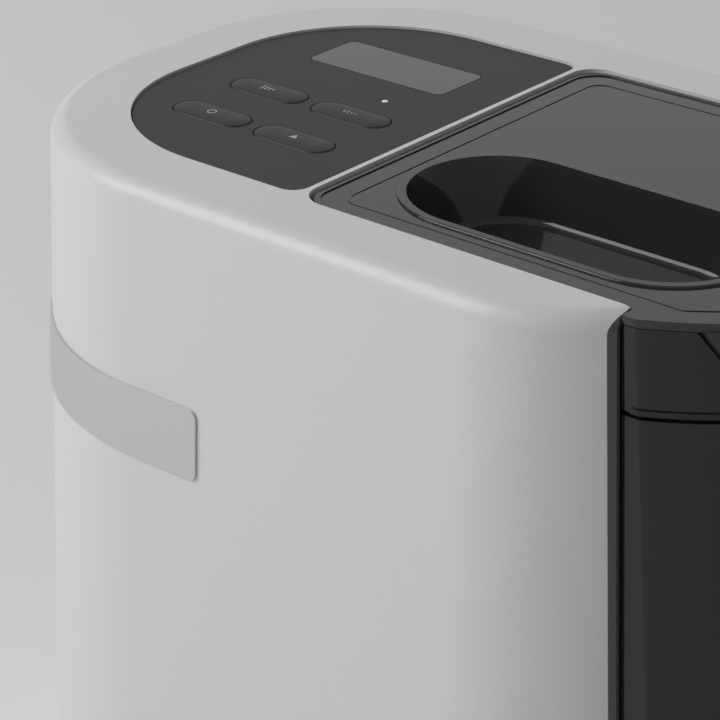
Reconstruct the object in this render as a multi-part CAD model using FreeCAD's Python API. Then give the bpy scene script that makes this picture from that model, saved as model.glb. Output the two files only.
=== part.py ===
"""Electric pasta maker, modelled as its separate pieces.

Millimetres. +Z is up, +X points to the front, where the dough comes out, and the user
stands on the -Y side. The origin is on the table under the middle of the machine.
"""
import FreeCAD
import Part
import math
import os

from FreeCAD import Rotation, Vector

# Overall form
HEIGHT = 285.0
HALF_WIDTH = 107.5
REAR_REACH = 165.0
SIDE_FRONT_X = 62.0
REAR_CORNER_R = 90.0
FRONT_CORNER_R = 58.0
FLARE_DEG = 2.4
TOP_EDGE_R = 6.5
SHELL_WALL = 2.6
TOP_THICK = 5.6
SHELL_BOTTOM_Z = 6.0
WHITE_EDGE_X = 104.5
WHITE_EDGE_LEAN = 0.055

# Smoked front, shared by the bowl's band, the lid's front edge and the lower cover
FRONT_CX = 70.0
FRONT_R = 95.0
FRONT_WALL = 3.0
FRONT_END_INSET = 8.7
FRONT_END_Y = FRONT_R - FRONT_END_INSET
RETURN_X = 97.0
FRONT_END_R = 2.8
FRONT_END_GAP = 0.5

# Feet, base and weighing cells
FOOT_R = 11.0
FOOT_H = 4.5
FOOT_STEM_R = 3.0
FOOT_EDGE_R = 1.2
FOOT_X = 118.0
FOOT_Y = 70.0
BASE_BOTTOM_Z = 6.0
BASE_THICK = 3.0
BASE_GAP = 0.3
CELL_LENGTH = 36.0
CELL_WIDTH = 12.0
CELL_H = 6.0
CELL_RISE = 3.0
BASE_SCREW_R = 1.9
BASE_SCREW_HEAD_R = 3.6
BASE_SCREW_INSET = 14.0
BASE_SCREW_XS = (-70.0, 10.0, 78.0)
BASE_SCREW_HEAD_H = 1.2
BASE_SCREW_REACH = 10.0
SCREW_CROSS_LENGTH = 4.8
SCREW_CROSS_WIDTH = 1.0
SCREW_CROSS_DEPTH = 0.6
HOLE_GAP = 0.3
BOSS_R = 5.0
BOSS_H = 22.0
BOSS_WEB_T = 3.0
BOSS_CAP = 4.0

# Steel band round the rear
BAND_TOP_DROP = 73.0
BAND_H = 26.0
BAND_PROUD = 1.0
BAND_END_X = -44.0
BAND_CORNER_R = 3.0
BAND_EDGE_R = 0.4

# Control panel, display and buttons
RIB_X = -27.2
RIB_WIDTH = 1.6
PANEL_BORDER = 28.0
PANEL_CORNER_R = 6.5
PANEL_RECESS = 3.2
PANEL_THICK = 2.4
PANEL_GAP = 0.3
PANEL_EDGE_R = 0.5
BUTTON_LENGTH = 33.0
BUTTON_WIDTH = 13.0
BUTTON_COLUMNS = (-98.0, -60.0)
BUTTON_ROWS = (-42.0, -12.0)
BUTTON_RISE = 0.9
BUTTON_SKIRT = 1.9
BUTTON_EDGE_R = 0.8
BUTTON_GAP = 0.3
BUTTON_TRAVEL = 1.0
STEM_R = 2.4
STEM_GAP = 0.3
SWITCH_SIDE = 6.0
SWITCH_H = 3.0
SWITCH_GAP = 1.3
BOARD_THICK = 1.6
BOARD_X0 = -118.0
BOARD_X1 = -42.0
BOARD_HALF_Y = 62.0
BOARD_POST_INSET = 4.0
BOARD_POST_R = 3.0
LED_X = -59.6
LED_Y = 6.5
LED_R = 1.2
LED_EDGE_R = 0.4
LED_PROUD = 0.1
DISPLAY_X = -79.0
DISPLAY_Y = 36.0
DISPLAY_LENGTH = 62.0
DISPLAY_WIDTH = 26.0
DISPLAY_THICK = 1.2
DISPLAY_CORNER_R = 3.0
DISPLAY_SEAT = 4.0
DISPLAY_SEAT_GAP = 0.1
DISPLAY_MODULE_INSET_X = 6.0
DISPLAY_MODULE_INSET_Y = 5.0
DISPLAY_MODULE_GAP = 0.2

# Lid and its well
LID_HALF_Y = 81.0
LID_REAR_X = -25.4
LID_TOP_DROP = 1.5
LID_THICK = 2.3
LID_CORNER_R = 8.0
LID_NOSE_SETBACK = 1.0
LID_GAP = 0.5
LID_CONTOUR_INSET = 10.5
LID_CONTOUR_DEPTH = 0.35
LID_CONTOUR_WIDTH = 0.9
WELL_X0 = -9.0
WELL_X1 = 117.0
WELL_Y0 = -65.0
WELL_Y1 = -3.0
WELL_DEPTH = 21.0
WELL_DRAFT = 9.0
WELL_SIDE_DRAFT = 0.35
WELL_WALL = 2.0
WELL_RIM_RISE = 0.8
WELL_RIM_WIDTH = 2.2
APRON_HALF_DEG = 53.0
APRON_H = 9.0
APRON_GAP_DEG = 1.3
APRON_SIDE_GAP = 0.9
APRON_THICK = 2.4
BACKING_T = 2.0
BACKING_DROP = 3.0
BACKING_EXTRA_DEG = 3.0
LID_SEAL_H = 4.0
LID_SEAL_WALL = 2.0

# Mixing bowl
AXIS_Z = 160.0
BOWL_R = 70.0
BOWL_WALL = 3.0
BOWL_REAR_X = -20.0
BOWL_FRONT_X = 122.0
FLANGE_THICK = 2.0
BAND_BOTTOM_DROP = 31.5
BOWL_SEAT_GAP = 0.2
LEDGE_THICK = 2.5
LEDGE_GAP = 1.0
LIP_PROUD = 0.8
LIP_H = 1.8
LIP_SETBACK = 6.0

# Extrusion end
BARREL_BORE_R = 20.0
BARREL_R = 24.0
BARREL_SETBACK = 8.0
BARREL_FRONT_X = FRONT_CX + FRONT_R - BARREL_SETBACK
BARREL_FLANGE_R = 30.0
BARREL_FLANGE_T = 4.0
DISC_R = 25.8
DISC_T = 5.0
DISC_HOLE_R = 1.6
DISC_HOLE_RING_R = 9.0
DISC_HOLE_COUNT = 6
NUT_R = 34.0
NUT_GRIP_R = 3.0
NUT_GRIP_COUNT = 12
NUT_LENGTH = 25.0
NUT_LIP_R = 18.0
NUT_FIT = 0.1
NUT_STANDOUT = 15.5
NUT_FRONT_X = BARREL_FRONT_X + NUT_STANDOUT
NUT_EDGE_R = 2.0
SCREW_R = 19.6
SCREW_CORE_R = 9.0
SCREW_REAR_X = 96.0
SCREW_PITCH = 20.0
SCREW_TURNS = 2.5
FLIGHT_T = 3.6
HEX_AF = 12.0
HEX_GAP = 0.1
HEX_TIP = 2.0

# Paddle
PADDLE_HUB_R = 12.0
PADDLE_R = 66.0
PADDLE_HUB_X0 = -15.0
PADDLE_HUB_X1 = 60.0
ARM_R = 5.0
BLADE_LENGTH = 34.0
BLADE_WIDTH = 16.0
BLADE_T = 5.0
BLADE_TWIST = 24.0
BLADE_EDGE_R = 2.0
BLADE_REAR_GAP = 3.0
ARM_PLACES = ((-4.0, 0.0), (22.0, 120.0), (48.0, 240.0))

# Front cover over the extrusion end
COVER_TOP_DROP = 33.2
COVER_BOTTOM_Z = 10.0
COVER_HOLE_R = 37.0
COVER_SCOOP_DEPTH = 8.0
COVER_SCOOP_HALF_Y = 66.0
COVER_SCOOP_R = 9.0
COVER_SCOOP_SLOPE = 2.0

# Front frame behind the cover
FRAME_X0 = 81.0
FRAME_X1 = 85.0
FRAME_HALF_Y = 84.0
FRAME_GAP = 0.3
SADDLE_LENGTH = 24.0
SADDLE_HALF_Y = 30.0
SADDLE_DROP = 6.0
SADDLE_GRIP = 8.0

# Drive
OUTPUT_MODULE = 2.0
OUTPUT_TEETH = 50
IDLER_SMALL_TEETH = 14
MOTOR_MODULE = 1.25
IDLER_LARGE_TEETH = 60
PINION_TEETH = 12
OUTPUT_GEAR_X0 = -56.0
OUTPUT_GEAR_X1 = -40.0
IDLER_LARGE_X0 = -72.0
IDLER_LARGE_X1 = -62.0
IDLER_Y = 40.0
GEAR_ADDENDUM = 0.92
GEAR_DEDENDUM = 1.25
PRESSURE_DEG = 20.0
FLANK_STEPS = 5
GEAR_RECESS = 8.0
GEAR_HUB_WALL = 6.0
GEAR_BACKLASH = 0.16
SHAFT_R = 8.0
IDLER_PIN_R = 4.0
MOTOR_SHAFT_R = 4.0
RUNNING_GAP = 0.05
BEARING_R = 15.0
BEARING_W = 8.0
GEARCASE_WALL = 4.0
GEARCASE_REAR_X = -80.0
GEARCASE_CLEAR = 3.0
BRACKET_X0 = -34.0
BRACKET_T = 3.0
BRACKET_HALF_Y = 88.0
BRACKET_TOP_Z = 236.0
BRACKET_FOOT = 30.0
MOTOR_R = 34.0
MOTOR_REAR_X = -142.0
MOTOR_EDGE_R = 3.0
MOTOR_VENT_R = 5.0
MOTOR_VENT_RING_R = 22.0
MOTOR_VENT_COUNT = 6
FAN_R = 30.0
FAN_W = 7.0
FAN_X1 = -144.0
FAN_BLADES = 8
FAN_HUB_R = 9.0
FAN_BLADE_T = 1.8
FAN_BLADE_TWIST = 20.0
SEAL_R = 14.0
CASE_SCREW_R = 2.0
CASE_SCREW_INSET = 8.0

# Electrics
INLET_WIDTH = 28.0
INLET_H = 20.0
INLET_DEPTH = 22.0
INLET_Z = 34.0
INLET_FLANGE = 4.0
INLET_WALL = 1.0
INLET_BACK = 3.0
INLET_PROUD = 0.6
INLET_PINS = ((-7.0, -2.5), (0.0, 2.5), (7.0, -2.5))
INLET_PIN_DEPTH = 6.0
INLET_PIN_HALF_W = 1.0
INLET_PIN_HALF_H = 2.0
POWER_BOARD_X0 = 10.0
POWER_BOARD_X1 = 80.0
POWER_BOARD_HALF_Y = 40.0
POWER_BOARD_Z = 18.0
POWER_POST_INSET = 5.0
POWER_POST_R = 3.0
CAPACITOR = (18.0, -18.0, 22.0, 8.0)
BOARD_BLOCKS = ((34.0, 56.0, -30.0, -8.0, 15.0), (10.0, 40.0, 8.0, 30.0, 18.0), (48.0, 64.0, 4.0, 26.0, 10.0))
LID_SWITCH_X = -36.0
LID_SWITCH_LENGTH = 12.0
LID_SWITCH_WIDTH = 16.0
LID_SWITCH_H = 9.0
LID_SWITCH_INSET = 2.0
MAGNET_R = 2.5
MAGNET_T = 2.0

# Levels and places that follow from the sizes above
SLOPE = math.tan(math.radians(FLARE_DEG))
PANEL_FLOOR_Z = HEIGHT - PANEL_RECESS
PANEL_TOP_Z = PANEL_FLOOR_Z + PANEL_THICK
TOP_UNDER_Z = HEIGHT - TOP_THICK
LID_TOP_Z = HEIGHT - LID_TOP_DROP
LID_BOTTOM_Z = LID_TOP_Z - LID_THICK
FLANGE_TOP_Z = LID_BOTTOM_Z - BOWL_SEAT_GAP
FLANGE_BOTTOM_Z = FLANGE_TOP_Z - FLANGE_THICK
BAND_BOTTOM_Z = HEIGHT - BAND_BOTTOM_DROP
COVER_TOP_Z = HEIGHT - COVER_TOP_DROP
BASE_TOP_Z = BASE_BOTTOM_Z + BASE_THICK
BUTTON_TOP_Z = PANEL_TOP_Z + BUTTON_RISE
BUTTON_UNDER_Z = BUTTON_TOP_Z - BUTTON_SKIRT
OUTPUT_R = OUTPUT_MODULE * OUTPUT_TEETH / 2
IDLER_SMALL_R = OUTPUT_MODULE * IDLER_SMALL_TEETH / 2
IDLER_LARGE_R = MOTOR_MODULE * IDLER_LARGE_TEETH / 2
PINION_R = MOTOR_MODULE * PINION_TEETH / 2
IDLER_Z = AXIS_Z - math.sqrt((OUTPUT_R + IDLER_SMALL_R) ** 2 - IDLER_Y ** 2)
MOTOR_Z = IDLER_Z - math.sqrt((IDLER_LARGE_R + PINION_R) ** 2 - IDLER_Y ** 2)
BRACKET_X1 = BRACKET_X0 + BRACKET_T
BOARD_TOP_Z = TOP_UNDER_Z - SWITCH_H - SWITCH_GAP


def flare(z):
    """How far the walls stand out at height z, past their outline at the top."""
    return (HEIGHT - z) * SLOPE


def arc(centre, radius, start_deg, end_deg, z):
    """Arc edge in plan from one angle to another, the short way round through the middle."""
    angles = (start_deg, (start_deg + end_deg) / 2, end_deg)
    points = [
        Vector(centre[0] + radius * math.cos(math.radians(a)),
               centre[1] + radius * math.sin(math.radians(a)), z)
        for a in angles
    ]
    return Part.Arc(*points).toShape()


def line(a, b, z):
    """Straight edge in plan between two points at height z."""
    return Part.makeLine(Vector(a[0], a[1], z), Vector(b[0], b[1], z))


def body_wire(offset, z):
    """Outline of the machine without its smoked front, moved out by offset."""
    rear = -REAR_REACH - offset
    half = HALF_WIDTH + offset
    rear_r = REAR_CORNER_R + offset
    front_r = FRONT_CORNER_R + offset
    rear_c = (REAR_CORNER_R - REAR_REACH, HALF_WIDTH - REAR_CORNER_R)
    front_c = (SIDE_FRONT_X, HALF_WIDTH - FRONT_CORNER_R)
    front = SIDE_FRONT_X + front_r
    return Part.Wire([
        line((rear, rear_c[1]), (rear, -rear_c[1]), z),
        arc((rear_c[0], -rear_c[1]), rear_r, 180, 270, z),
        line((rear_c[0], -half), (front_c[0], -half), z),
        arc((front_c[0], -front_c[1]), front_r, -90, 0, z),
        line((front, -front_c[1]), (front, front_c[1]), z),
        arc(front_c, front_r, 0, 90, z),
        line((front_c[0], half), (rear_c[0], half), z),
        arc(rear_c, rear_r, 90, 180, z),
    ])


def body_block(inset, z0, z1):
    """Solid inside the flared walls between two heights, smaller by inset all round."""
    wires = [body_wire(flare(z) - inset, z) for z in (z0, z1)]
    return Part.makeLoft(wires, True, True)


def front_block(inset, z0, z1):
    """Solid inside the smoked front between two heights, smaller by inset."""
    back = RETURN_X - (1.0 if inset > 0 else 0.0)
    low, high = (FRONT_R + flare(z) - inset for z in (z0, z1))
    drum = Part.makeCone(low, high, z1 - z0, Vector(FRONT_CX, 0, z0))
    loops = []
    for z in (z0, z1):
        half = FRONT_END_Y - inset
        far = FRONT_CX + 2 * FRONT_R
        corners = [
            Vector(back, -half, z), Vector(far, -half, z), Vector(far, half, z), Vector(back, half, z),
        ]
        loops.append(Part.makePolygon(corners + corners[:1]))
    block = drum.common(Part.makeLoft(loops, True, True))
    if inset:
        return block
    ends = [
        e for e in block.Edges
        if abs(abs(e.CenterOfMass.y) - FRONT_END_Y) < 1.0
        and e.CenterOfMass.x > RETURN_X + 1.0 and abs(e.Vertexes[0].Z - e.Vertexes[-1].Z) > (z1 - z0) / 2
    ]
    return block.makeFillet(FRONT_END_R, ends)


def box(x0, x1, y0, y1, z0, z1):
    """Box between two corners."""
    return Part.makeBox(x1 - x0, y1 - y0, z1 - z0, Vector(x0, y0, z0))


def rod(x0, x1, y, z, radius):
    """Cylinder along X."""
    return Part.makeCylinder(radius, x1 - x0, Vector(x0, y, z), Vector(1, 0, 0))


def post(x, y, z0, z1, radius):
    """Upright cylinder."""
    return Part.makeCylinder(radius, z1 - z0, Vector(x, y, z0))


def stadium(cx, cy, length, width, z0, z1, grow=0.0):
    """Upright block with half-round ends, long side along X."""
    radius = width / 2 + grow
    reach = (length - width) / 2
    core = box(cx - reach, cx + reach, cy - radius, cy + radius, z0, z1)
    ends = [post(cx + s * reach, cy, z0, z1, radius) for s in (-1, 1)]
    return core.fuse(ends).removeSplitter()


def rounded_block(x0, x1, y0, y1, z0, z1, radius):
    """Box with its four upright edges rounded."""
    block = box(x0, x1, y0, y1, z0, z1)
    edges = [e for e in block.Edges if e.BoundBox.ZLength > (z1 - z0) / 2]
    return block.makeFillet(radius, edges)


def edges_at(shape, z, tol=0.01):
    """Edges that lie flat at height z."""
    return [
        e for e in shape.Edges
        if abs(e.BoundBox.ZMin - z) < tol and abs(e.BoundBox.ZMax - z) < tol
    ]


def joined(shapes):
    """One clean solid from touching shapes."""
    result = shapes[0]
    for shape in shapes[1:]:
        result = result.fuse(shape)
    return result.removeSplitter()


def group(shapes):
    """Separate solids that share one node."""
    return Part.makeCompound(shapes)


def panel_wire(inset, z):
    """Outline of the control panel: the rear follows the body, the front is straight."""
    border = PANEL_BORDER + inset
    rear = -REAR_REACH + border
    radius = REAR_CORNER_R - border
    centre = (REAR_CORNER_R - REAR_REACH, HALF_WIDTH - REAR_CORNER_R)
    half = centre[1] + radius
    front = RIB_X - RIB_WIDTH / 2 - inset
    corner = PANEL_CORNER_R - min(inset, PANEL_CORNER_R / 2)
    return Part.Wire([
        line((rear, centre[1]), (rear, -centre[1]), z),
        arc((centre[0], -centre[1]), radius, 180, 270, z),
        line((centre[0], -half), (front - corner, -half), z),
        arc((front - corner, corner - half), corner, -90, 0, z),
        line((front, corner - half), (front, half - corner), z),
        arc((front - corner, half - corner), corner, 0, 90, z),
        line((front - corner, half), (centre[0], half), z),
        arc(centre, radius, 90, 180, z),
    ])


def panel_block(inset, z0, z1):
    """Upright block with the control panel's outline."""
    return Part.Face(panel_wire(inset, z0)).extrude(Vector(0, 0, z1 - z0))


def lid_block(inset, z0, z1):
    """Upright block with the lid's outline: straight sides, widening to the front arc."""
    half = LID_HALF_Y - inset
    far = REAR_REACH + FRONT_R
    sides = rounded_block(LID_REAR_X + inset, BOWL_FRONT_X, -half, half, z0, z1, LID_CORNER_R)
    if not inset:
        keep = box(WHITE_EDGE_X + LID_NOSE_SETBACK, far, -far, far, z0, z1)
        return sides.fuse(front_block(0.0, z0, z1).common(keep)).removeSplitter()
    nose = Part.makeCylinder(FRONT_R - inset, z1 - z0, Vector(FRONT_CX, 0, z0))
    whole = sides.fuse(nose.common(box(WHITE_EDGE_X, far, -half, half, z0, z1)))
    rear = box(LID_REAR_X, FRONT_CX, -half, half, z0, z1)
    return whole.common(nose.fuse(rear)).removeSplitter()


def button_places():
    """Centres of the buttons, near row first."""
    return [(x, y) for y in BUTTON_ROWS for x in BUTTON_COLUMNS]


def body_shell():
    """Moulded white casing: sides, rear and top border, open in front and below."""
    outer = body_block(0.0, SHELL_BOTTOM_Z, HEIGHT)
    outer = outer.makeFillet(TOP_EDGE_R, edges_at(outer, HEIGHT))
    shell = outer.cut(body_block(SHELL_WALL, SHELL_BOTTOM_Z - 1.0, TOP_UNDER_Z))
    shell = shell.cut(front_cutter())
    shell = shell.cut(panel_block(0.0, PANEL_FLOOR_Z, HEIGHT + 1))
    half = LID_HALF_Y + LID_GAP
    mouth = rounded_block(RIB_X + RIB_WIDTH / 2, REAR_REACH + FRONT_R, -half, half,
                          TOP_UNDER_Z - 1, HEIGHT + 1, LID_CORNER_R)
    shell = shell.cut(mouth)
    for x, y in button_places():
        shell = shell.cut(post(x, y, TOP_UNDER_Z - 1, HEIGHT, STEM_R + STEM_GAP))
    shell = shell.cut(post(LED_X, LED_Y, TOP_UNDER_Z - 1, HEIGHT, LED_R + STEM_GAP))
    shell = shell.cut(rounded_block(
        DISPLAY_X - DISPLAY_LENGTH / 2 + DISPLAY_SEAT, DISPLAY_X + DISPLAY_LENGTH / 2 - DISPLAY_SEAT,
        DISPLAY_Y - DISPLAY_WIDTH / 2 + DISPLAY_SEAT, DISPLAY_Y + DISPLAY_WIDTH / 2 - DISPLAY_SEAT,
        TOP_UNDER_Z - 1, HEIGHT, 1.0))
    inlet = inlet_box(INLET_FLANGE / 2, 30.0)
    shell = shell.cut(inlet)
    posts = [post(x, y, BOARD_TOP_Z, TOP_UNDER_Z + 1, BOARD_POST_R) for x, y in board_posts()]
    bosses = [
        post(x, y, BASE_TOP_Z, BASE_TOP_Z + BOSS_H, BOSS_R).fuse(boss_web(x, y))
        for x, y in base_screw_places()
    ]
    bosses = [b.common(body_block(SHELL_WALL / 2, SHELL_BOTTOM_Z, TOP_UNDER_Z)) for b in bosses]
    shell = joined([shell, bowl_ledge()] + posts + bosses)
    clear = FRONT_END_Y + FRONT_END_GAP
    shell = shell.cut(box(RETURN_X - 2, 2 * REAR_REACH, -clear, clear, 0, TOP_UNDER_Z))
    shell = shell.cut(box(WHITE_EDGE_X + FRONT_END_GAP, 2 * REAR_REACH, -clear, clear, 0, HEIGHT + 1))
    for x, y in base_screw_places():
        shell = shell.cut(post(x, y, BASE_TOP_Z - 1, BASE_TOP_Z + BOSS_H - BOSS_CAP, BASE_SCREW_R))
    return shell.removeSplitter()


def bowl_ledge():
    """Ledge in the casing's mouth that the bowl's flange rests on."""
    half = LID_HALF_Y + LID_GAP
    top = FLANGE_BOTTOM_Z - BOWL_SEAT_GAP
    x0 = RIB_X + RIB_WIDTH / 2
    x1 = RETURN_X - 2
    low = top - LEDGE_THICK
    block = box(x0 - LEDGE_THICK, x1, -half - LEDGE_THICK, half + LEDGE_THICK, low, TOP_UNDER_Z)
    block = block.cut(rounded_block(x0, 2 * REAR_REACH, -half, half, top, HEIGHT, LID_CORNER_R))
    inner = BOWL_R + BOWL_WALL + LEDGE_GAP
    return block.cut(box(BOWL_REAR_X - BOWL_WALL - LEDGE_GAP, 2 * REAR_REACH, -inner, inner, 0, HEIGHT))


def front_cutter():
    """Everything ahead of the white walls' leaning front edges."""
    reach = REAR_REACH + FRONT_R
    low = WHITE_EDGE_X + WHITE_EDGE_LEAN * HEIGHT
    points = [
        Vector(low, -reach, 0), Vector(WHITE_EDGE_X - WHITE_EDGE_LEAN * 10, -reach, HEIGHT + 10),
        Vector(2 * reach, -reach, HEIGHT + 10), Vector(2 * reach, -reach, 0),
    ]
    face = Part.Face(Part.makePolygon(points + points[:1]))
    return face.extrude(Vector(0, 2 * reach, 0))


def board_posts():
    """Posts that the control board hangs from."""
    xs = (BOARD_X0 + BOARD_POST_INSET, BOARD_X1 - BOARD_POST_INSET)
    y = BOARD_HALF_Y - BOARD_POST_INSET
    return [(x, s * y) for x in xs for s in (-1, 1)]


def base_screw_places():
    """Bosses along the side walls that take the base plate's screws."""
    y = HALF_WIDTH + flare(BASE_TOP_Z) - BASE_SCREW_INSET
    return [(x, s * y) for x in BASE_SCREW_XS for s in (-1, 1)]


def boss_web(x, y):
    """Rib that ties a screw boss to the side wall."""
    side = 1 if y > 0 else -1
    wall_y = HALF_WIDTH + flare(BASE_TOP_Z)
    low, high = sorted((y, side * wall_y))
    return box(x - BOSS_WEB_T / 2, x + BOSS_WEB_T / 2, low, high, BASE_TOP_Z, BASE_TOP_Z + BOSS_H)


def base_plate():
    """Flat bottom that closes the casing and carries the weighing cells."""
    z0, z1 = BASE_BOTTOM_Z, BASE_TOP_Z
    plate = body_block(SHELL_WALL + BASE_GAP, z0, z1)
    far = 2 * REAR_REACH
    nose = front_block(FRONT_WALL + BASE_GAP, z0, z1)
    plate = joined([plate.common(box(-far, WHITE_EDGE_X, -far, far, z0, z1)), nose])
    for x, y in base_screw_places():
        plate = plate.cut(post(x, y, z0 - 1, z1 + 1, BASE_SCREW_R + HOLE_GAP))
    for x, y in foot_places():
        plate = plate.cut(post(x, y, z0 - 1, z1 + 1, FOOT_STEM_R + HOLE_GAP))
        inner = x - math.copysign(CELL_LENGTH - CELL_WIDTH, x)
        pad = box(inner - CELL_WIDTH / 2, inner + CELL_WIDTH / 2, y - CELL_WIDTH / 2,
                  y + CELL_WIDTH / 2, z1, z1 + CELL_RISE)
        plate = plate.fuse(pad)
    y = POWER_BOARD_HALF_Y - POWER_POST_INSET
    for x in (POWER_BOARD_X0 + POWER_POST_INSET, POWER_BOARD_X1 - POWER_POST_INSET):
        for side in (-1, 1):
            plate = plate.fuse(post(x, side * y, z1, POWER_BOARD_Z, POWER_POST_R))
    return plate.removeSplitter()


def foot_places():
    """Centres of the four feet."""
    return [(sx * FOOT_X, sy * FOOT_Y) for sx in (-1, 1) for sy in (-1, 1)]


def foot_pads():
    """Rubber feet whose stems push up on the weighing cells."""
    feet = []
    for x, y in foot_places():
        pad = post(x, y, 0, FOOT_H, FOOT_R)
        pad = pad.makeFillet(FOOT_EDGE_R, edges_at(pad, 0))
        stem = post(x, y, FOOT_H, BASE_TOP_Z + CELL_RISE, FOOT_STEM_R)
        feet.append(pad.fuse(stem).removeSplitter())
    return group(feet)


def load_cells():
    """Bars that bend with the weight, one over each foot."""
    cells = []
    for x, y in foot_places():
        half = math.copysign(CELL_WIDTH / 2, x)
        x0, x1 = sorted((x - math.copysign(CELL_LENGTH - CELL_WIDTH, x) - half, x + half))
        y0 = y - CELL_WIDTH / 2
        z0 = BASE_TOP_Z + CELL_RISE
        bar = box(x0, x1, y0, y0 + CELL_WIDTH, z0, z0 + CELL_H)
        middle = Vector((x0 + x1) / 2, y0, z0 + CELL_H / 2)
        waist = Part.makeCylinder(CELL_H / 4, CELL_WIDTH, middle, Vector(0, 1, 0))
        cells.append(bar.cut(waist))
    return group(cells)


def base_screws():
    """Screws that hold the base plate to the casing."""
    screws = []
    for x, y in base_screw_places():
        z0 = BASE_BOTTOM_Z - BASE_SCREW_HEAD_H
        head = post(x, y, z0, BASE_BOTTOM_Z, BASE_SCREW_HEAD_R)
        shank = post(x, y, BASE_BOTTOM_Z, BASE_TOP_Z + BASE_SCREW_REACH, BASE_SCREW_R - NUT_FIT)
        long_half = SCREW_CROSS_LENGTH / 2
        half = SCREW_CROSS_WIDTH / 2
        slot = box(x - long_half, x + long_half, y - half, y + half, z0 - 1, z0 + SCREW_CROSS_DEPTH)
        cross = box(x - half, x + half, y - long_half, y + long_half, z0 - 1, z0 + SCREW_CROSS_DEPTH)
        screws.append(head.fuse(shank).cut(slot).cut(cross).removeSplitter())
    return group(screws)


def rear_band():
    """Brushed steel strip that wraps the rear, with rounded ends."""
    z1 = HEIGHT - BAND_TOP_DROP
    z0 = z1 - BAND_H
    ring = body_block(-BAND_PROUD, z0, z1).cut(body_block(0.0, z0 - 1, z1 + 1))
    reach = REAR_REACH + FRONT_R
    window = box(-reach, BAND_END_X, -reach, reach, z0, z1)
    corners = [
        e for e in window.Edges
        if e.BoundBox.YLength > reach and abs(e.CenterOfMass.x - BAND_END_X) < 0.1
    ]
    window = window.makeFillet(BAND_CORNER_R, corners)
    band = ring.common(window).removeSplitter()
    outer = [
        e for e in band.Edges
        if e.BoundBox.ZLength < 0.01 and abs(e.BoundBox.ZMin - z1) < 0.01 and on_band_face(e, z1)
    ]
    return band.makeChamfer(BAND_EDGE_R, outer) if outer else band


def on_band_face(edge, z):
    """Whether an edge lies on the steel band's outer face rather than on the casing."""
    point = edge.valueAt((edge.FirstParameter + edge.LastParameter) / 2)
    away = abs(point.y)
    if point.x < REAR_CORNER_R - REAR_REACH:
        cy = HALF_WIDTH - REAR_CORNER_R
        away = cy + math.hypot(point.x + REAR_REACH - REAR_CORNER_R, max(abs(point.y) - cy, 0.0))
    return away > HALF_WIDTH + flare(z) + BAND_PROUD / 2


def control_panel():
    """Dark soft-touch plate with openings for the buttons, the lamp and the display."""
    plate = panel_block(PANEL_GAP, PANEL_FLOOR_Z, PANEL_TOP_Z)
    plate = plate.makeFillet(PANEL_EDGE_R, edges_at(plate, PANEL_TOP_Z))
    for x, y in button_places():
        plate = plate.cut(stadium(x, y, BUTTON_LENGTH, BUTTON_WIDTH, PANEL_FLOOR_Z - 1,
                                  PANEL_TOP_Z + 1, BUTTON_GAP))
    plate = plate.cut(post(LED_X, LED_Y, PANEL_FLOOR_Z - 1, PANEL_TOP_Z + 1, LED_R + 0.05))
    window = display_block(DISPLAY_SEAT_GAP, PANEL_TOP_Z - DISPLAY_THICK, PANEL_TOP_Z + 1, 0.0)
    through = display_block(-DISPLAY_SEAT, PANEL_FLOOR_Z - 1, PANEL_TOP_Z, DISPLAY_SEAT / 2)
    return plate.cut(window).cut(through).removeSplitter()


def display_block(grow, z0, z1, less_corner):
    """Rounded block of the display's outline."""
    return rounded_block(
        DISPLAY_X - DISPLAY_LENGTH / 2 - grow, DISPLAY_X + DISPLAY_LENGTH / 2 + grow,
        DISPLAY_Y - DISPLAY_WIDTH / 2 - grow, DISPLAY_Y + DISPLAY_WIDTH / 2 + grow,
        z0, z1, DISPLAY_CORNER_R - less_corner)


def display_window():
    """Dark clear pane over the display."""
    return display_block(0.0, PANEL_TOP_Z - DISPLAY_THICK, PANEL_TOP_Z, 0.0)


def display_module():
    """Display that shows time and weight, under its pane and on the control board."""
    half_x = DISPLAY_LENGTH / 2 - DISPLAY_MODULE_INSET_X
    half_y = DISPLAY_WIDTH / 2 - DISPLAY_MODULE_INSET_Y
    return box(DISPLAY_X - half_x, DISPLAY_X + half_x, DISPLAY_Y - half_y, DISPLAY_Y + half_y,
               BOARD_TOP_Z, PANEL_TOP_Z - DISPLAY_THICK - DISPLAY_MODULE_GAP)


def status_led():
    """Small white lamp that shines through the panel."""
    top = PANEL_TOP_Z + LED_PROUD
    lamp = post(LED_X, LED_Y, BOARD_TOP_Z, top, LED_R)
    return lamp.makeFillet(LED_EDGE_R, edges_at(lamp, top))


def control_board():
    """Circuit board under the panel, with a small switch below each button."""
    board = box(BOARD_X0, BOARD_X1, -BOARD_HALF_Y, BOARD_HALF_Y, BOARD_TOP_Z - BOARD_THICK, BOARD_TOP_Z)
    for x, y in button_places():
        half = SWITCH_SIDE / 2
        board = board.fuse(box(x - half, x + half, y - half, y + half, BOARD_TOP_Z, BOARD_TOP_Z + SWITCH_H))
    return board.removeSplitter()


def button(x, y):
    """Domed stadium button with the stem that works its switch."""
    cap = stadium(x, y, BUTTON_LENGTH, BUTTON_WIDTH, BUTTON_UNDER_Z, BUTTON_TOP_Z)
    cap = cap.makeFillet(BUTTON_EDGE_R, edges_at(cap, BUTTON_TOP_Z))
    tip = BOARD_TOP_Z + SWITCH_H + BUTTON_TRAVEL + 0.2
    return cap.fuse(post(x, y, tip, BUTTON_UNDER_Z, STEM_R)).removeSplitter()


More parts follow.
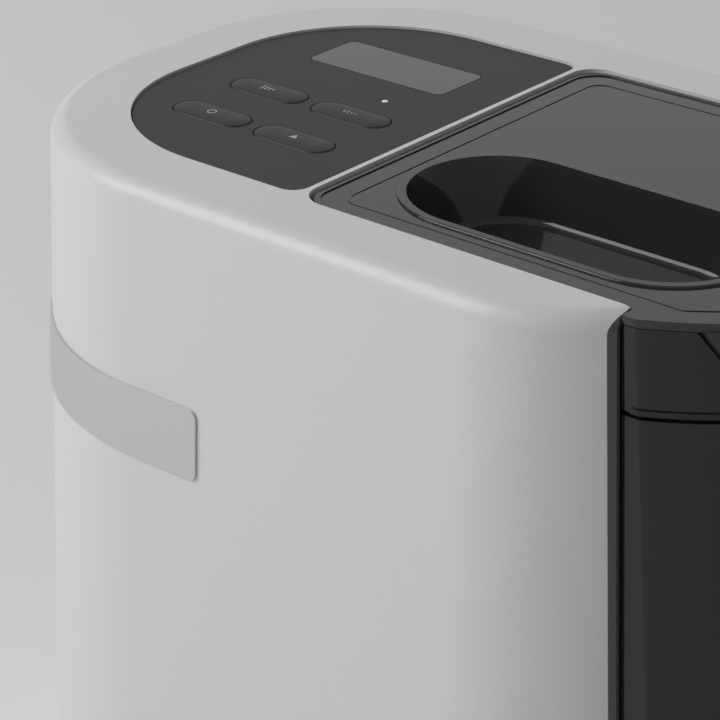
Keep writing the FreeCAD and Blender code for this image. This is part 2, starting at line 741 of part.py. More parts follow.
def well_block(grow, z0, z1):
    """Stadium block of the lid's well, drafted so that its ends slope inwards."""
    cx = (WELL_X0 + WELL_X1) / 2
    cy = (WELL_Y0 + WELL_Y1) / 2

    def ring(z):
        shrink = (LID_TOP_Z - z) / WELL_DEPTH * WELL_DRAFT
        radius = (WELL_Y1 - WELL_Y0) / 2 + grow - shrink * WELL_SIDE_DRAFT
        reach = (WELL_X1 - WELL_X0) / 2 + grow - shrink - radius
        return Part.Wire([
            line((cx - reach, cy - radius), (cx + reach, cy - radius), z),
            arc((cx + reach, cy), radius, -90, 90, z),
            line((cx + reach, cy + radius), (cx - reach, cy + radius), z),
            arc((cx - reach, cy), radius, 90, 270, z),
        ])

    return Part.makeLoft([ring(z0), ring(z1)], True, True)


def lid():
    """Smoked lid: flat plate with a raised well rim, a deep well and a front apron."""
    plate = lid_block(0.0, LID_BOTTOM_Z, LID_TOP_Z)
    groove = lid_block(LID_CONTOUR_INSET, LID_TOP_Z - LID_CONTOUR_DEPTH, LID_TOP_Z + 1)
    groove = groove.cut(lid_block(LID_CONTOUR_INSET + LID_CONTOUR_WIDTH,
                                  LID_TOP_Z - 1, LID_TOP_Z + 2))
    rim = stadium((WELL_X0 + WELL_X1) / 2, (WELL_Y0 + WELL_Y1) / 2, WELL_X1 - WELL_X0,
                  WELL_Y1 - WELL_Y0, LID_BOTTOM_Z, LID_TOP_Z + WELL_RIM_RISE, WELL_RIM_WIDTH)
    rim = rim.makeFillet(WELL_RIM_RISE * 0.9, edges_at(rim, LID_TOP_Z + WELL_RIM_RISE))
    floor_z = LID_TOP_Z - WELL_DEPTH
    cup = well_block(WELL_WALL, floor_z - WELL_WALL, LID_TOP_Z)
    apron = front_block(0.0, LID_BOTTOM_Z - APRON_H, LID_BOTTOM_Z + 0.5)
    apron = apron.cut(front_block(APRON_THICK, LID_BOTTOM_Z - APRON_H - 1, LID_BOTTOM_Z + 1.5))
    apron = apron.common(front_sector(APRON_HALF_DEG, LID_BOTTOM_Z - APRON_H, LID_BOTTOM_Z + 0.5))
    body = joined([plate.cut(groove), rim, cup, apron])
    return body.cut(well_block(0.0, floor_z, LID_TOP_Z + WELL_RIM_RISE + 1)).removeSplitter()


def front_sector(half_deg, z0, z1):
    """Wedge that opens forward from the front arc's centre."""
    reach = 3 * FRONT_R
    x = FRONT_CX + reach * math.cos(math.radians(half_deg))
    y = reach * math.sin(math.radians(half_deg))
    points = [
        Vector(FRONT_CX, 0, z0), Vector(x, -y, z0), Vector(FRONT_CX + reach, -y, z0),
        Vector(FRONT_CX + reach, y, z0), Vector(x, y, z0),
    ]
    return Part.Face(Part.makePolygon(points + points[:1])).extrude(Vector(0, 0, z1 - z0))


def mouth_block(grow, z0, z1):
    """Rounded block of the bowl's inside at its mouth."""
    return rounded_block(BOWL_REAR_X - grow, BOWL_FRONT_X + grow, -BOWL_R - grow, BOWL_R + grow,
                         z0, z1, LID_CORNER_R + grow)


def lid_seal():
    """Soft ring under the lid that closes the bowl's mouth."""
    z1 = LID_BOTTOM_Z
    outer = mouth_block(-BOWL_SEAT_GAP, z1 - LID_SEAL_H, z1)
    return outer.cut(mouth_block(-BOWL_SEAT_GAP - LID_SEAL_WALL, z1 - LID_SEAL_H - 1, z1 + 1)).cut(
        well_block(WELL_WALL + 0.05, LID_TOP_Z - WELL_DEPTH - WELL_WALL, LID_TOP_Z))


def lid_magnet():
    """Magnet under the lid's rear edge that works the safety switch."""
    x, y = magnet_place()
    return post(x, y, LID_BOTTOM_Z - MAGNET_T, LID_BOTTOM_Z, MAGNET_R)


def magnet_place():
    """Centre of the magnet, near the lid's far rear corner."""
    return LID_REAR_X + 2 * MAGNET_R, LID_HALF_Y - 3 * MAGNET_R


def trough(grow, x0, x1, z1):
    """Round-bottomed trough of the mixing bowl."""
    radius = BOWL_R + grow
    low = rod(x0, x1, 0, AXIS_Z, radius)
    return joined([low, box(x0, x1, -radius, radius, AXIS_Z, z1)])


def bowl():
    """Smoked mixing bowl: trough, top flange and the curved band that shows in front."""
    outer = trough(BOWL_WALL, BOWL_REAR_X - BOWL_WALL, BOWL_FRONT_X + BOWL_WALL, FLANGE_TOP_Z)
    far = 2 * REAR_REACH
    flange = lid_block(0.0, FLANGE_BOTTOM_Z, FLANGE_TOP_Z)
    skin = front_block(0.0, BAND_BOTTOM_Z, FLANGE_TOP_Z)
    skin = skin.cut(front_block(FRONT_WALL, BAND_BOTTOM_Z - 1, FLANGE_BOTTOM_Z))
    lip = front_block(-LIP_PROUD, BAND_BOTTOM_Z, BAND_BOTTOM_Z + LIP_H)
    lip = lip.cut(front_block(FRONT_WALL / 2, BAND_BOTTOM_Z - 1, BAND_BOTTOM_Z + LIP_H + 1))
    lip = lip.common(box(WHITE_EDGE_X + LIP_SETBACK, far, -far, far, 0, HEIGHT))
    whole = joined([outer, flange, skin, lip])
    notch = front_block(-5.0, LID_BOTTOM_Z - APRON_H - APRON_SIDE_GAP, LID_BOTTOM_Z + 1)
    notch = notch.cut(front_block(APRON_THICK + APRON_SIDE_GAP, LID_BOTTOM_Z - APRON_H - 2,
                                  LID_BOTTOM_Z + 2))
    notch = notch.common(front_sector(APRON_HALF_DEG + APRON_GAP_DEG, 0, HEIGHT))
    inner = trough(0.0, BOWL_REAR_X, BOWL_FRONT_X, HEIGHT)
    whole = whole.cut(notch).cut(inner)
    back = APRON_THICK + APRON_SIDE_GAP
    low = LID_BOTTOM_Z - APRON_H - BACKING_DROP
    backing = front_block(back, low, FLANGE_TOP_Z)
    backing = backing.cut(front_block(back + BACKING_T, low - 1, FLANGE_TOP_Z + 1))
    backing = backing.common(front_sector(APRON_HALF_DEG + APRON_GAP_DEG + BACKING_EXTRA_DEG, 0, HEIGHT))
    whole = joined([whole, backing])
    tips = box(RETURN_X - 5, WHITE_EDGE_X + 2 * FRONT_END_GAP, -far, far, TOP_UNDER_Z - BOWL_SEAT_GAP, HEIGHT)
    whole = whole.cut(tips.cut(box(0, far, -LID_HALF_Y, LID_HALF_Y, 0, HEIGHT + 1)))
    mx, my = magnet_place()
    whole = whole.cut(post(mx, my, FLANGE_BOTTOM_Z - 1, HEIGHT, MAGNET_R + BOWL_SEAT_GAP))
    whole = whole.cut(rod(BOWL_REAR_X - 10, BOWL_REAR_X + 1, 0, AXIS_Z, SEAL_R))
    whole = whole.cut(rod(BOWL_FRONT_X - 1, BOWL_FRONT_X + 10, 0, AXIS_Z, BARREL_R))
    return whole.removeSplitter()


def bowl_seal():
    """Rubber ring that keeps the dough off the drive shaft's bearing."""
    x0 = BOWL_REAR_X - BOWL_WALL
    return rod(x0, BOWL_REAR_X + 1.0, 0, AXIS_Z, SEAL_R).cut(
        rod(x0 - 1, BOWL_REAR_X + 2, 0, AXIS_Z, SHAFT_R + RUNNING_GAP))


def barrel():
    """Tube that the screw presses the dough through, flanged to the bowl."""
    face = BOWL_FRONT_X + BOWL_WALL
    tube = rod(BOWL_FRONT_X, BARREL_FRONT_X, 0, AXIS_Z, BARREL_R)
    flange = rod(face, face + BARREL_FLANGE_T, 0, AXIS_Z, BARREL_FLANGE_R)
    whole = joined([tube, flange])
    return whole.cut(rod(BOWL_FRONT_X - 1, BARREL_FRONT_X + 1, 0, AXIS_Z, BARREL_BORE_R))


def shaping_disc():
    """Disc whose holes give the pasta its shape."""
    x0 = BARREL_FRONT_X
    disc = rod(x0, x0 + DISC_T, 0, AXIS_Z, DISC_R)
    for i in range(DISC_HOLE_COUNT):
        turn = 2 * math.pi * i / DISC_HOLE_COUNT
        y = DISC_HOLE_RING_R * math.cos(turn)
        z = AXIS_Z + DISC_HOLE_RING_R * math.sin(turn)
        disc = disc.cut(rod(x0 - 1, x0 + DISC_T + 1, y, z, DISC_HOLE_R))
    return disc


def ring_nut():
    """Hand nut that clamps the shaping disc to the barrel."""
    x0 = NUT_FRONT_X - NUT_LENGTH
    seat = BARREL_FRONT_X + DISC_T + NUT_FIT
    nut = rod(x0, NUT_FRONT_X, 0, AXIS_Z, NUT_R)
    rims = [
        e for e in nut.Edges
        if abs(e.BoundBox.XMin - NUT_FRONT_X) < 0.01 and e.BoundBox.XLength < 0.01
    ]
    nut = nut.makeFillet(NUT_EDGE_R, rims)
    nut = nut.cut(rod(x0 - 1, BARREL_FRONT_X - NUT_FIT, 0, AXIS_Z, BARREL_R + NUT_FIT))
    nut = nut.cut(rod(BARREL_FRONT_X - NUT_FIT, seat, 0, AXIS_Z, DISC_R + NUT_FIT))
    nut = nut.cut(rod(seat - 1, NUT_FRONT_X + 1, 0, AXIS_Z, NUT_LIP_R))
    for i in range(NUT_GRIP_COUNT):
        turn = 2 * math.pi * i / NUT_GRIP_COUNT
        y = (NUT_R + NUT_GRIP_R / 2) * math.cos(turn)
        z = AXIS_Z + (NUT_R + NUT_GRIP_R / 2) * math.sin(turn)
        nut = nut.cut(rod(x0 - 1, NUT_FRONT_X + 1, y, z, NUT_GRIP_R))
    return nut


def hex_bar(x0, x1, across):
    """Six-sided bar along the machine's axis."""
    radius = across / 2 / math.cos(math.pi / 6)
    points = [
        Vector(x0, radius * math.cos(math.pi / 3 * i), AXIS_Z + radius * math.sin(math.pi / 3 * i))
        for i in range(7)
    ]
    return Part.Face(Part.makePolygon(points)).extrude(Vector(x1 - x0, 0, 0))


def extrusion_screw():
    """Screw that drives the dough forward, with one helical flight."""
    length = SCREW_PITCH * SCREW_TURNS
    start = SCREW_REAR_X + FLIGHT_T
    core = rod(SCREW_REAR_X, BARREL_FRONT_X - 1.0, 0, AXIS_Z, SCREW_CORE_R)
    helix = Part.makeHelix(SCREW_PITCH, length, SCREW_CORE_R)
    overlap = 1.0
    half = FLIGHT_T / 2
    inner = SCREW_CORE_R - overlap
    section = Part.makePolygon([
        Vector(inner, 0, -half), Vector(SCREW_R, 0, -half * 0.7),
        Vector(SCREW_R, 0, half * 0.7), Vector(inner, 0, half), Vector(inner, 0, -half),
    ])
    pipe = Part.BRepOffsetAPI.MakePipeShell(helix)
    pipe.setFrenetMode(True)
    pipe.add(section)
    pipe.build()
    pipe.makeSolid()
    flight = pipe.shape()
    flight.rotate(Vector(0, 0, 0), Vector(0, 1, 0), 90)
    flight.translate(Vector(start, 0, AXIS_Z))
    shank = rod(PADDLE_HUB_X1, SCREW_REAR_X + 1, 0, AXIS_Z, SCREW_CORE_R)
    drive = hex_bar(PADDLE_HUB_X0 + 1, PADDLE_HUB_X1 + 1, HEX_AF)
    tip = hex_bar(PADDLE_HUB_X0 - HEX_TIP, PADDLE_HUB_X0 + HEX_TIP, HEX_AF)
    return joined([core, shank, drive, tip, flight])


def mixing_paddle():
    """Hub on the screw's hexagon with three arms and twisted blades."""
    hub = rod(PADDLE_HUB_X0, PADDLE_HUB_X1 - HEX_GAP, 0, AXIS_Z, PADDLE_HUB_R)
    parts = [hub]
    for x, turn in ARM_PLACES:
        arm = Part.makeCylinder(ARM_R, PADDLE_R - BLADE_WIDTH / 2, Vector(x, 0, AXIS_Z))
        blade = box(x - BLADE_LENGTH / 2, x + BLADE_LENGTH / 2, -BLADE_T / 2, BLADE_T / 2,
                    AXIS_Z + PADDLE_R - BLADE_WIDTH, AXIS_Z + PADDLE_R - 2)
        long_edges = [e for e in blade.Edges if e.BoundBox.XLength > BLADE_LENGTH / 2]
        blade = blade.makeFillet(BLADE_EDGE_R, long_edges)
        blade.rotate(Vector(x, 0, AXIS_Z), Vector(0, 0, 1), BLADE_TWIST)
        rear = BOWL_REAR_X + BLADE_REAR_GAP
        if x - BLADE_LENGTH / 2 < rear:
            blade.translate(Vector(rear - x + BLADE_LENGTH / 2, 0, 0))
        arm = arm.fuse(blade)
        arm.rotate(Vector(0, 0, AXIS_Z), Vector(1, 0, 0), turn)
        parts.append(arm)
    whole = joined(parts)
    return whole.cut(hex_bar(PADDLE_HUB_X0 - 1, PADDLE_HUB_X1 + 1, HEX_AF + 2 * HEX_GAP))


def front_cover():
    """Smoked cover over the extrusion end, lifted off for cleaning."""
    skin = front_block(0.0, COVER_BOTTOM_Z, COVER_TOP_Z)
    skin = skin.cut(front_block(FRONT_WALL, COVER_BOTTOM_Z - 1, COVER_TOP_Z + 1))
    skin = skin.cut(rod(FRONT_CX, 2 * REAR_REACH, 0, AXIS_Z, COVER_HOLE_R))
    z1 = COVER_TOP_Z + 1
    z0 = COVER_TOP_Z - COVER_SCOOP_DEPTH
    slope = COVER_SCOOP_SLOPE * COVER_SCOOP_DEPTH / 2
    top_y = COVER_SCOOP_HALF_Y + slope
    low_y = COVER_SCOOP_HALF_Y - slope
    points = [
        Vector(FRONT_CX, -top_y, z1), Vector(FRONT_CX, -low_y, z0),
        Vector(FRONT_CX, low_y, z0), Vector(FRONT_CX, top_y, z1),
    ]
    scoop = Part.Face(Part.makePolygon(points + points[:1])).extrude(Vector(2 * REAR_REACH, 0, 0))
    long_edges = [
        e for e in scoop.Edges
        if e.BoundBox.XLength > REAR_REACH and abs(e.CenterOfMass.z - z0) < 0.1
    ]
    return skin.cut(scoop.makeFillet(COVER_SCOOP_R, long_edges)).removeSplitter()


def front_frame():
    """Dark inner frame round the bowl, closing the casing behind the cover."""
    plate = box(FRAME_X0, FRAME_X1, -FRAME_HALF_Y, FRAME_HALF_Y, BASE_TOP_Z, BAND_BOTTOM_Z - 2)
    low = AXIS_Z - BOWL_R - BOWL_WALL
    saddle = box(FRAME_X0 - SADDLE_LENGTH, FRAME_X0 + 1, -SADDLE_HALF_Y, SADDLE_HALF_Y,
                 low - SADDLE_DROP, low + SADDLE_GRIP)
    gap = trough(BOWL_WALL + FRAME_GAP, FRAME_X0 - SADDLE_LENGTH - 1, FRAME_X1 + 1, HEIGHT)
    return joined([plate, saddle]).cut(gap).removeSplitter()


def gear_profile(teeth, module, x0, thick, turn):
    """Spur gear along X with involute flanks, turned so that a tooth starts at an angle."""
    pitch_r = teeth * module / 2
    pressure = math.radians(PRESSURE_DEG)
    base_r = pitch_r * math.cos(pressure)
    tip_r = pitch_r + GEAR_ADDENDUM * module
    root_r = pitch_r - GEAR_DEDENDUM * module
    inv_pitch = math.tan(pressure) - pressure
    half_pitch_angle = (math.pi * module / 2 - GEAR_BACKLASH) / 2 / pitch_r
    start_r = max(base_r, root_r)
    steps = FLANK_STEPS
    flank = []
    for i in range(steps):
        radius = start_r + (tip_r - start_r) * i / (steps - 1)
        cosine = min(1.0, base_r / radius)
        local = math.acos(cosine)
        half_angle = half_pitch_angle + inv_pitch - (math.tan(local) - local)
        flank.append((radius, half_angle))
    if root_r < base_r:
        flank.insert(0, (root_r, flank[0][1]))
    points = []
    for tooth in range(teeth):
        middle = turn + 2 * math.pi * tooth / teeth
        for radius, half in flank:
            points.append((radius, middle - half))
        for radius, half in reversed(flank):
            points.append((radius, middle + half))
    vectors = [Vector(x0, r * math.cos(a), r * math.sin(a)) for r, a in points]
    face = Part.Face(Part.makePolygon(vectors + vectors[:1]))
    return face.extrude(Vector(thick, 0, 0))


def mesh_angle(from_axis, to_axis):
    """Direction from one gear's axis to another's, about X from +Y."""
    return math.atan2(to_axis[1] - from_axis[1], to_axis[0] - from_axis[0])


def placed(shape, y, z):
    """Shape moved from the X axis to an axis at y, z."""
    shape.translate(Vector(0, y, z))
    return shape


def output_gear():
    """Large gear on the shaft that turns the paddle and the screw."""
    towards = mesh_angle((0, AXIS_Z), (IDLER_Y, IDLER_Z))
    width = OUTPUT_GEAR_X1 - OUTPUT_GEAR_X0
    wheel = gear_profile(OUTPUT_TEETH, OUTPUT_MODULE, OUTPUT_GEAR_X0, width, towards)
    wheel = placed(wheel, 0, AXIS_Z)
    mid = (OUTPUT_GEAR_X0 + OUTPUT_GEAR_X1) / 2
    recess = rod(mid + 3, OUTPUT_GEAR_X1 + 1, 0, AXIS_Z, OUTPUT_R - GEAR_RECESS).cut(
        rod(mid, OUTPUT_GEAR_X1 + 2, 0, AXIS_Z, SHAFT_R + GEAR_HUB_WALL))
    return wheel.cut(recess).cut(rod(OUTPUT_GEAR_X0 - 1, OUTPUT_GEAR_X1 + 1, 0, AXIS_Z, SHAFT_R))


def idler_gear():
    """Two-step gear: a large wheel driven by the motor, a small one that drives the output."""
    to_output = mesh_angle((IDLER_Y, IDLER_Z), (0, AXIS_Z))
    to_motor = mesh_angle((IDLER_Y, IDLER_Z), (0, MOTOR_Z))
    small = gear_profile(IDLER_SMALL_TEETH, OUTPUT_MODULE, OUTPUT_GEAR_X0 - 1,
                         OUTPUT_GEAR_X1 - OUTPUT_GEAR_X0 + 2, to_output + math.pi / IDLER_SMALL_TEETH)
    large = gear_profile(IDLER_LARGE_TEETH, MOTOR_MODULE, IDLER_LARGE_X0,
                         IDLER_LARGE_X1 - IDLER_LARGE_X0, to_motor)
    neck = Part.makeCylinder(IDLER_SMALL_R - GEAR_DEDENDUM * OUTPUT_MODULE, OUTPUT_GEAR_X0 - IDLER_LARGE_X1,
                             Vector(IDLER_LARGE_X1, 0, 0), Vector(1, 0, 0))
    whole = placed(joined([small, large, neck]), IDLER_Y, IDLER_Z)
    bore = rod(IDLER_LARGE_X0 - 1, OUTPUT_GEAR_X1 + 2, IDLER_Y, IDLER_Z, IDLER_PIN_R + RUNNING_GAP)
    return whole.cut(bore)


def pinion():
    """Small gear on the motor's shaft."""
    to_idler = mesh_angle((0, MOTOR_Z), (IDLER_Y, IDLER_Z))
    wheel = gear_profile(PINION_TEETH, MOTOR_MODULE, IDLER_LARGE_X0 - 1,
                         IDLER_LARGE_X1 - IDLER_LARGE_X0 + 2, to_idler + math.pi / PINION_TEETH)
    wheel = placed(wheel, 0, MOTOR_Z)
    return wheel.cut(rod(IDLER_LARGE_X0 - 2, IDLER_LARGE_X1 + 2, 0, MOTOR_Z, MOTOR_SHAFT_R))


def idler_pin():
    """Fixed steel pin that the two-step gear turns on."""
    return rod(GEARCASE_REAR_X, BRACKET_X1, IDLER_Y, IDLER_Z, IDLER_PIN_R)


def output_shaft():
    """Shaft from the gearbox into the bowl, with a six-sided socket for the screw."""
    shaft = rod(GEARCASE_REAR_X, PADDLE_HUB_X0 - 1.0, 0, AXIS_Z, SHAFT_R)
    socket = hex_bar(PADDLE_HUB_X0 - HEX_TIP - HEX_GAP, PADDLE_HUB_X0, HEX_AF + 2 * HEX_GAP)
    return shaft.cut(socket)


def bearing(x0):
    """Ball bearing drawn as its rings and balls' race, round the output shaft."""
    outer = rod(x0, x0 + BEARING_W, 0, AXIS_Z, BEARING_R)
    bore = rod(x0 - 1, x0 + BEARING_W + 1, 0, AXIS_Z, SHAFT_R + RUNNING_GAP)
    groove = rod(x0 + BEARING_W - 1, x0 + BEARING_W + 1, 0, AXIS_Z, BEARING_R - 2).cut(
        rod(x0, x0 + BEARING_W + 2, 0, AXIS_Z, SHAFT_R + 2))
    return outer.cut(bore).cut(groove)


def gearcase_outline(grow, x0, x1):
    """Rounded block round all the gears."""
    clear = GEARCASE_CLEAR + grow
    y0 = -OUTPUT_R - OUTPUT_MODULE - clear
    y1 = IDLER_Y + IDLER_LARGE_R + MOTOR_MODULE + clear
    z0 = min(MOTOR_Z - PINION_R, IDLER_Z - IDLER_LARGE_R) - MOTOR_MODULE - clear
    z1 = AXIS_Z + OUTPUT_R + OUTPUT_MODULE + clear
    block = box(x0, x1, y0, y1, z0, z1)
    edges = [e for e in block.Edges if e.BoundBox.XLength > (x1 - x0) / 2]
    return block.makeFillet(10.0 + grow, edges)


def gearbox_housing():
    """Cast case behind the bracket that holds the gears' rear ends and the motor."""
    case = gearcase_outline(GEARCASE_WALL, GEARCASE_REAR_X - GEARCASE_WALL, BRACKET_X0)
    case = case.cut(gearcase_outline(0.0, GEARCASE_REAR_X + GEARCASE_WALL, BRACKET_X0 + 1))
    case = case.cut(rod(GEARCASE_REAR_X - 10, GEARCASE_REAR_X + 10, 0, MOTOR_Z, MOTOR_SHAFT_R + 2))
    case = case.cut(rod(GEARCASE_REAR_X, GEARCASE_REAR_X + 10, IDLER_Y, IDLER_Z, IDLER_PIN_R))
    seat = rod(GEARCASE_REAR_X - 1, GEARCASE_REAR_X + BEARING_W + 1, 0, AXIS_Z, BEARING_R + 3)
    case = case.fuse(seat)
    case = case.cut(rod(GEARCASE_REAR_X, GEARCASE_REAR_X + BEARING_W + 2, 0, AXIS_Z, BEARING_R))
    for y, z in case_screw_places():
        case = case.fuse(rod(GEARCASE_REAR_X - GEARCASE_WALL, BRACKET_X0, y, z, 5.0))
        case = case.cut(rod(GEARCASE_REAR_X - 10, BRACKET_X0 + 1, y, z, CASE_SCREW_R + 0.1))
    return case.removeSplitter()


def case_screw_places():
    """Corners of the gearbox where its long screws run."""
    box_of = gearcase_outline(0.0, 0.0, 1.0).BoundBox
    inset = -1.0
    return [
        (y, z) for y in (box_of.YMin + inset, box_of.YMax - inset)
        for z in (box_of.ZMin + CASE_SCREW_INSET * 3, box_of.ZMax - CASE_SCREW_INSET * 3)
    ]


def gearbox_screws():
    """Long screws through the gearbox into the bracket."""
    screws = []
    for y, z in case_screw_places():
        x0 = GEARCASE_REAR_X - GEARCASE_WALL
        head = rod(x0 - 3.0, x0, y, z, CASE_SCREW_R * 2)
        screws.append(joined([head, rod(x0, BRACKET_X1, y, z, CASE_SCREW_R)]))
    return group(screws)


def motor_bracket():
    """Steel plate on the base that carries the gearbox and the bowl's rear hub."""
    wall = box(BRACKET_X0, BRACKET_X1, -BRACKET_HALF_Y, BRACKET_HALF_Y, BASE_TOP_Z, BRACKET_TOP_Z)
    foot = box(BRACKET_X0, BRACKET_X0 + BRACKET_FOOT, -BRACKET_HALF_Y, BRACKET_HALF_Y,
               BASE_TOP_Z, BASE_TOP_Z + BRACKET_T)
    hub = rod(BRACKET_X0, BOWL_REAR_X - BOWL_WALL - BOWL_SEAT_GAP, 0, AXIS_Z, BEARING_R + 4)
    plate = joined([wall, foot, hub])
    plate = plate.cut(rod(BRACKET_X0 - 1, BRACKET_X0 + BEARING_W, 0, AXIS_Z, BEARING_R))
    plate = plate.cut(rod(BRACKET_X0 - 1, BRACKET_X1 + 20, 0, AXIS_Z, SHAFT_R + 1.5))
    plate = plate.cut(rod(BRACKET_X0 - 1, BRACKET_X1 + 1, IDLER_Y, IDLER_Z, IDLER_PIN_R))
    for y, z in case_screw_places():
        plate = plate.cut(rod(BRACKET_X0 - 1, BRACKET_X1 + 1, y, z, CASE_SCREW_R))
    return plate.removeSplitter()


def motor_can():
    """Motor body bolted to the back of the gearbox."""
    x1 = GEARCASE_REAR_X - GEARCASE_WALL
    can = rod(MOTOR_REAR_X, x1, 0, MOTOR_Z, MOTOR_R)
    rims = [e for e in can.Edges if e.BoundBox.XLength < 0.01]
    can = can.makeFillet(MOTOR_EDGE_R, rims)
    for i in range(MOTOR_VENT_COUNT):
        turn = 2 * math.pi * (i + 0.5) / MOTOR_VENT_COUNT
        y = MOTOR_VENT_RING_R * math.cos(turn)
        z = MOTOR_Z + MOTOR_VENT_RING_R * math.sin(turn)
        can = can.cut(rod(MOTOR_REAR_X - 1, MOTOR_REAR_X + 2 * MOTOR_VENT_R, y, z, MOTOR_VENT_R))
    return can.cut(rod(MOTOR_REAR_X - 1, x1 + 1, 0, MOTOR_Z, MOTOR_SHAFT_R + RUNNING_GAP))


def motor_shaft():
    """Motor's shaft, from the fan to the pinion."""
    return rod(FAN_X1 - FAN_W, IDLER_LARGE_X1 + 1, 0, MOTOR_Z, MOTOR_SHAFT_R)


def cooling_fan():
    """Fan on the rear end of the motor's shaft."""
    x0 = FAN_X1 - FAN_W
    hub = rod(x0, FAN_X1, 0, MOTOR_Z, FAN_HUB_R)
    parts = [hub]
    for i in range(FAN_BLADES):
        blade = box(x0, FAN_X1, -FAN_BLADE_T / 2, FAN_BLADE_T / 2, MOTOR_Z + FAN_HUB_R - 1, MOTOR_Z + FAN_R)
        blade.rotate(Vector((x0 + FAN_X1) / 2, 0, MOTOR_Z), Vector(0, 0, 1), FAN_BLADE_TWIST)
        blade.rotate(Vector(0, 0, MOTOR_Z), Vector(1, 0, 0), 360 / FAN_BLADES * i)
        parts.append(blade)
    whole = joined(parts)
    return whole.cut(rod(x0 - 5, FAN_X1 + 5, 0, MOTOR_Z, MOTOR_SHAFT_R))


def inlet_box(grow, depth):
    """Block through the rear wall at the mains inlet."""
    x0 = -REAR_REACH - flare(INLET_Z) - 2
    return box(x0, x0 + depth, -INLET_WIDTH / 2 - grow, INLET_WIDTH / 2 + grow,
               INLET_Z - INLET_H / 2 - grow, INLET_Z + INLET_H / 2 + grow)


def power_inlet():
    """Mains inlet in the rear wall, a recessed socket with three pins."""
    face_x = -REAR_REACH - flare(INLET_Z)
    lip_w = INLET_WIDTH / 2 + INLET_FLANGE / 2 - 0.1
    lip_h = INLET_H / 2 + INLET_FLANGE / 2 - 0.1
    rear = face_x + INLET_DEPTH
    body = box(face_x + INLET_PROUD, rear, -lip_w, lip_w, INLET_Z - lip_h, INLET_Z + lip_h)
    half_w = INLET_WIDTH / 2 - INLET_WALL
    half_h = INLET_H / 2 - INLET_WALL
    body = body.cut(box(face_x - 1, rear - INLET_BACK, -half_w, half_w, INLET_Z - half_h, INLET_Z + half_h))
    for y, dz in INLET_PINS:
        z = INLET_Z + dz
        body = body.fuse(box(face_x + INLET_PIN_DEPTH, rear, y - INLET_PIN_HALF_W, y + INLET_PIN_HALF_W,
                             z - INLET_PIN_HALF_H, z + INLET_PIN_HALF_H))
    return body.removeSplitter()


def power_board():
    """Circuit board that switches the motor, on posts on the base."""
    z0 = POWER_BOARD_Z
    board = box(POWER_BOARD_X0, POWER_BOARD_X1, -POWER_BOARD_HALF_Y, POWER_BOARD_HALF_Y, z0, z0 + BOARD_THICK)
    top = z0 + BOARD_THICK
    x, y, tall, radius = CAPACITOR
    parts = [board, post(POWER_BOARD_X0 + x, y, top, top + tall, radius)]
    for x0, x1, y0, y1, tall in BOARD_BLOCKS:
        parts.append(box(POWER_BOARD_X0 + x0, POWER_BOARD_X0 + x1, y0, y1, top, top + tall))
    return joined(parts)


def lid_switch():
    """Safety switch under the casing's top that stops the motor when the lid is off."""
    half = LID_SWITCH_LENGTH / 2
    y1 = LID_HALF_Y - LID_SWITCH_INSET
    return box(LID_SWITCH_X - half, LID_SWITCH_X + half, y1 - LID_SWITCH_WIDTH, y1,
               TOP_UNDER_Z - LID_SWITCH_H, TOP_UNDER_Z)


def nodes():
    """Every piece by its node name."""
    names = ("tare_button", "start_button", "mode_button", "pasta_button")
    parts = {
        "body_shell": body_shell(),
        "base_plate": base_plate(),
        "foot_pads": foot_pads(),
        "load_cells": load_cells(),
        "base_screws": base_screws(),
        "rear_band": rear_band(),
        "control_panel": control_panel(),
        "display_window": display_window(),
        "display_module": display_module(),
        "status_led": status_led(),
        "control_board": control_board(),
        "lid": lid(),
        "lid_seal": lid_seal(),
        "lid_magnet": lid_magnet(),
        "lid_switch": lid_switch(),
        "bowl": bowl(),
        "bowl_seal": bowl_seal(),
        "barrel": barrel(),
        "shaping_disc": shaping_disc(),
        "ring_nut": ring_nut(),
        "extrusion_screw": extrusion_screw(),
        "mixing_paddle": mixing_paddle(),
        "front_cover": front_cover(),
        "front_frame": front_frame(),
        "output_gear": output_gear(),
        "idler_gear": idler_gear(),
        "pinion": pinion(),
        "idler_pin": idler_pin(),
        "output_shaft": output_shaft(),
        "front_bearing": bearing(BRACKET_X0),
        "rear_bearing": bearing(GEARCASE_REAR_X),
        "gearbox_housing": gearbox_housing(),
        "gearbox_screws": gearbox_screws(),
        "motor_bracket": motor_bracket(),
        "motor_can": motor_can(),
        "motor_shaft": motor_shaft(),
        "cooling_fan": cooling_fan(),
        "power_inlet": power_inlet(),
        "power_board": power_board(),
    }
    for name, (x, y) in zip(names, button_places()):
        parts[name] = button(x, y)
    return parts


def main():
    """Build each piece, say what it measures and write it to its own file."""
    os.makedirs("parts", exist_ok=True)
    for name, shape in nodes().items():
        bounds = shape.BoundBox
        print("%-18s solids %d valid %s volume %9.0f  x %.1f..%.1f  y %.1f..%.1f  z %.1f..%.1f" % (
            name, len(shape.Solids), shape.isValid(), shape.Volume, bounds.XMin, bounds.XMax,
            bounds.YMin, bounds.YMax, bounds.ZMin, bounds.ZMax))
        shape.exportStep(os.path.join("parts", name + ".step"))


main()
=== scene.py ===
"""Electric pasta maker: the looks of its pieces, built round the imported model.

Sizes are in millimetres, in the model's own frame: +X is the front, the user stands on
the -Y side, and the table is at Z = 0. Helpers turn them to Blender's metres.
"""
import logging
import math
from contextlib import contextmanager
from dataclasses import dataclass, field
from enum import Enum
from typing import Callable, Iterator

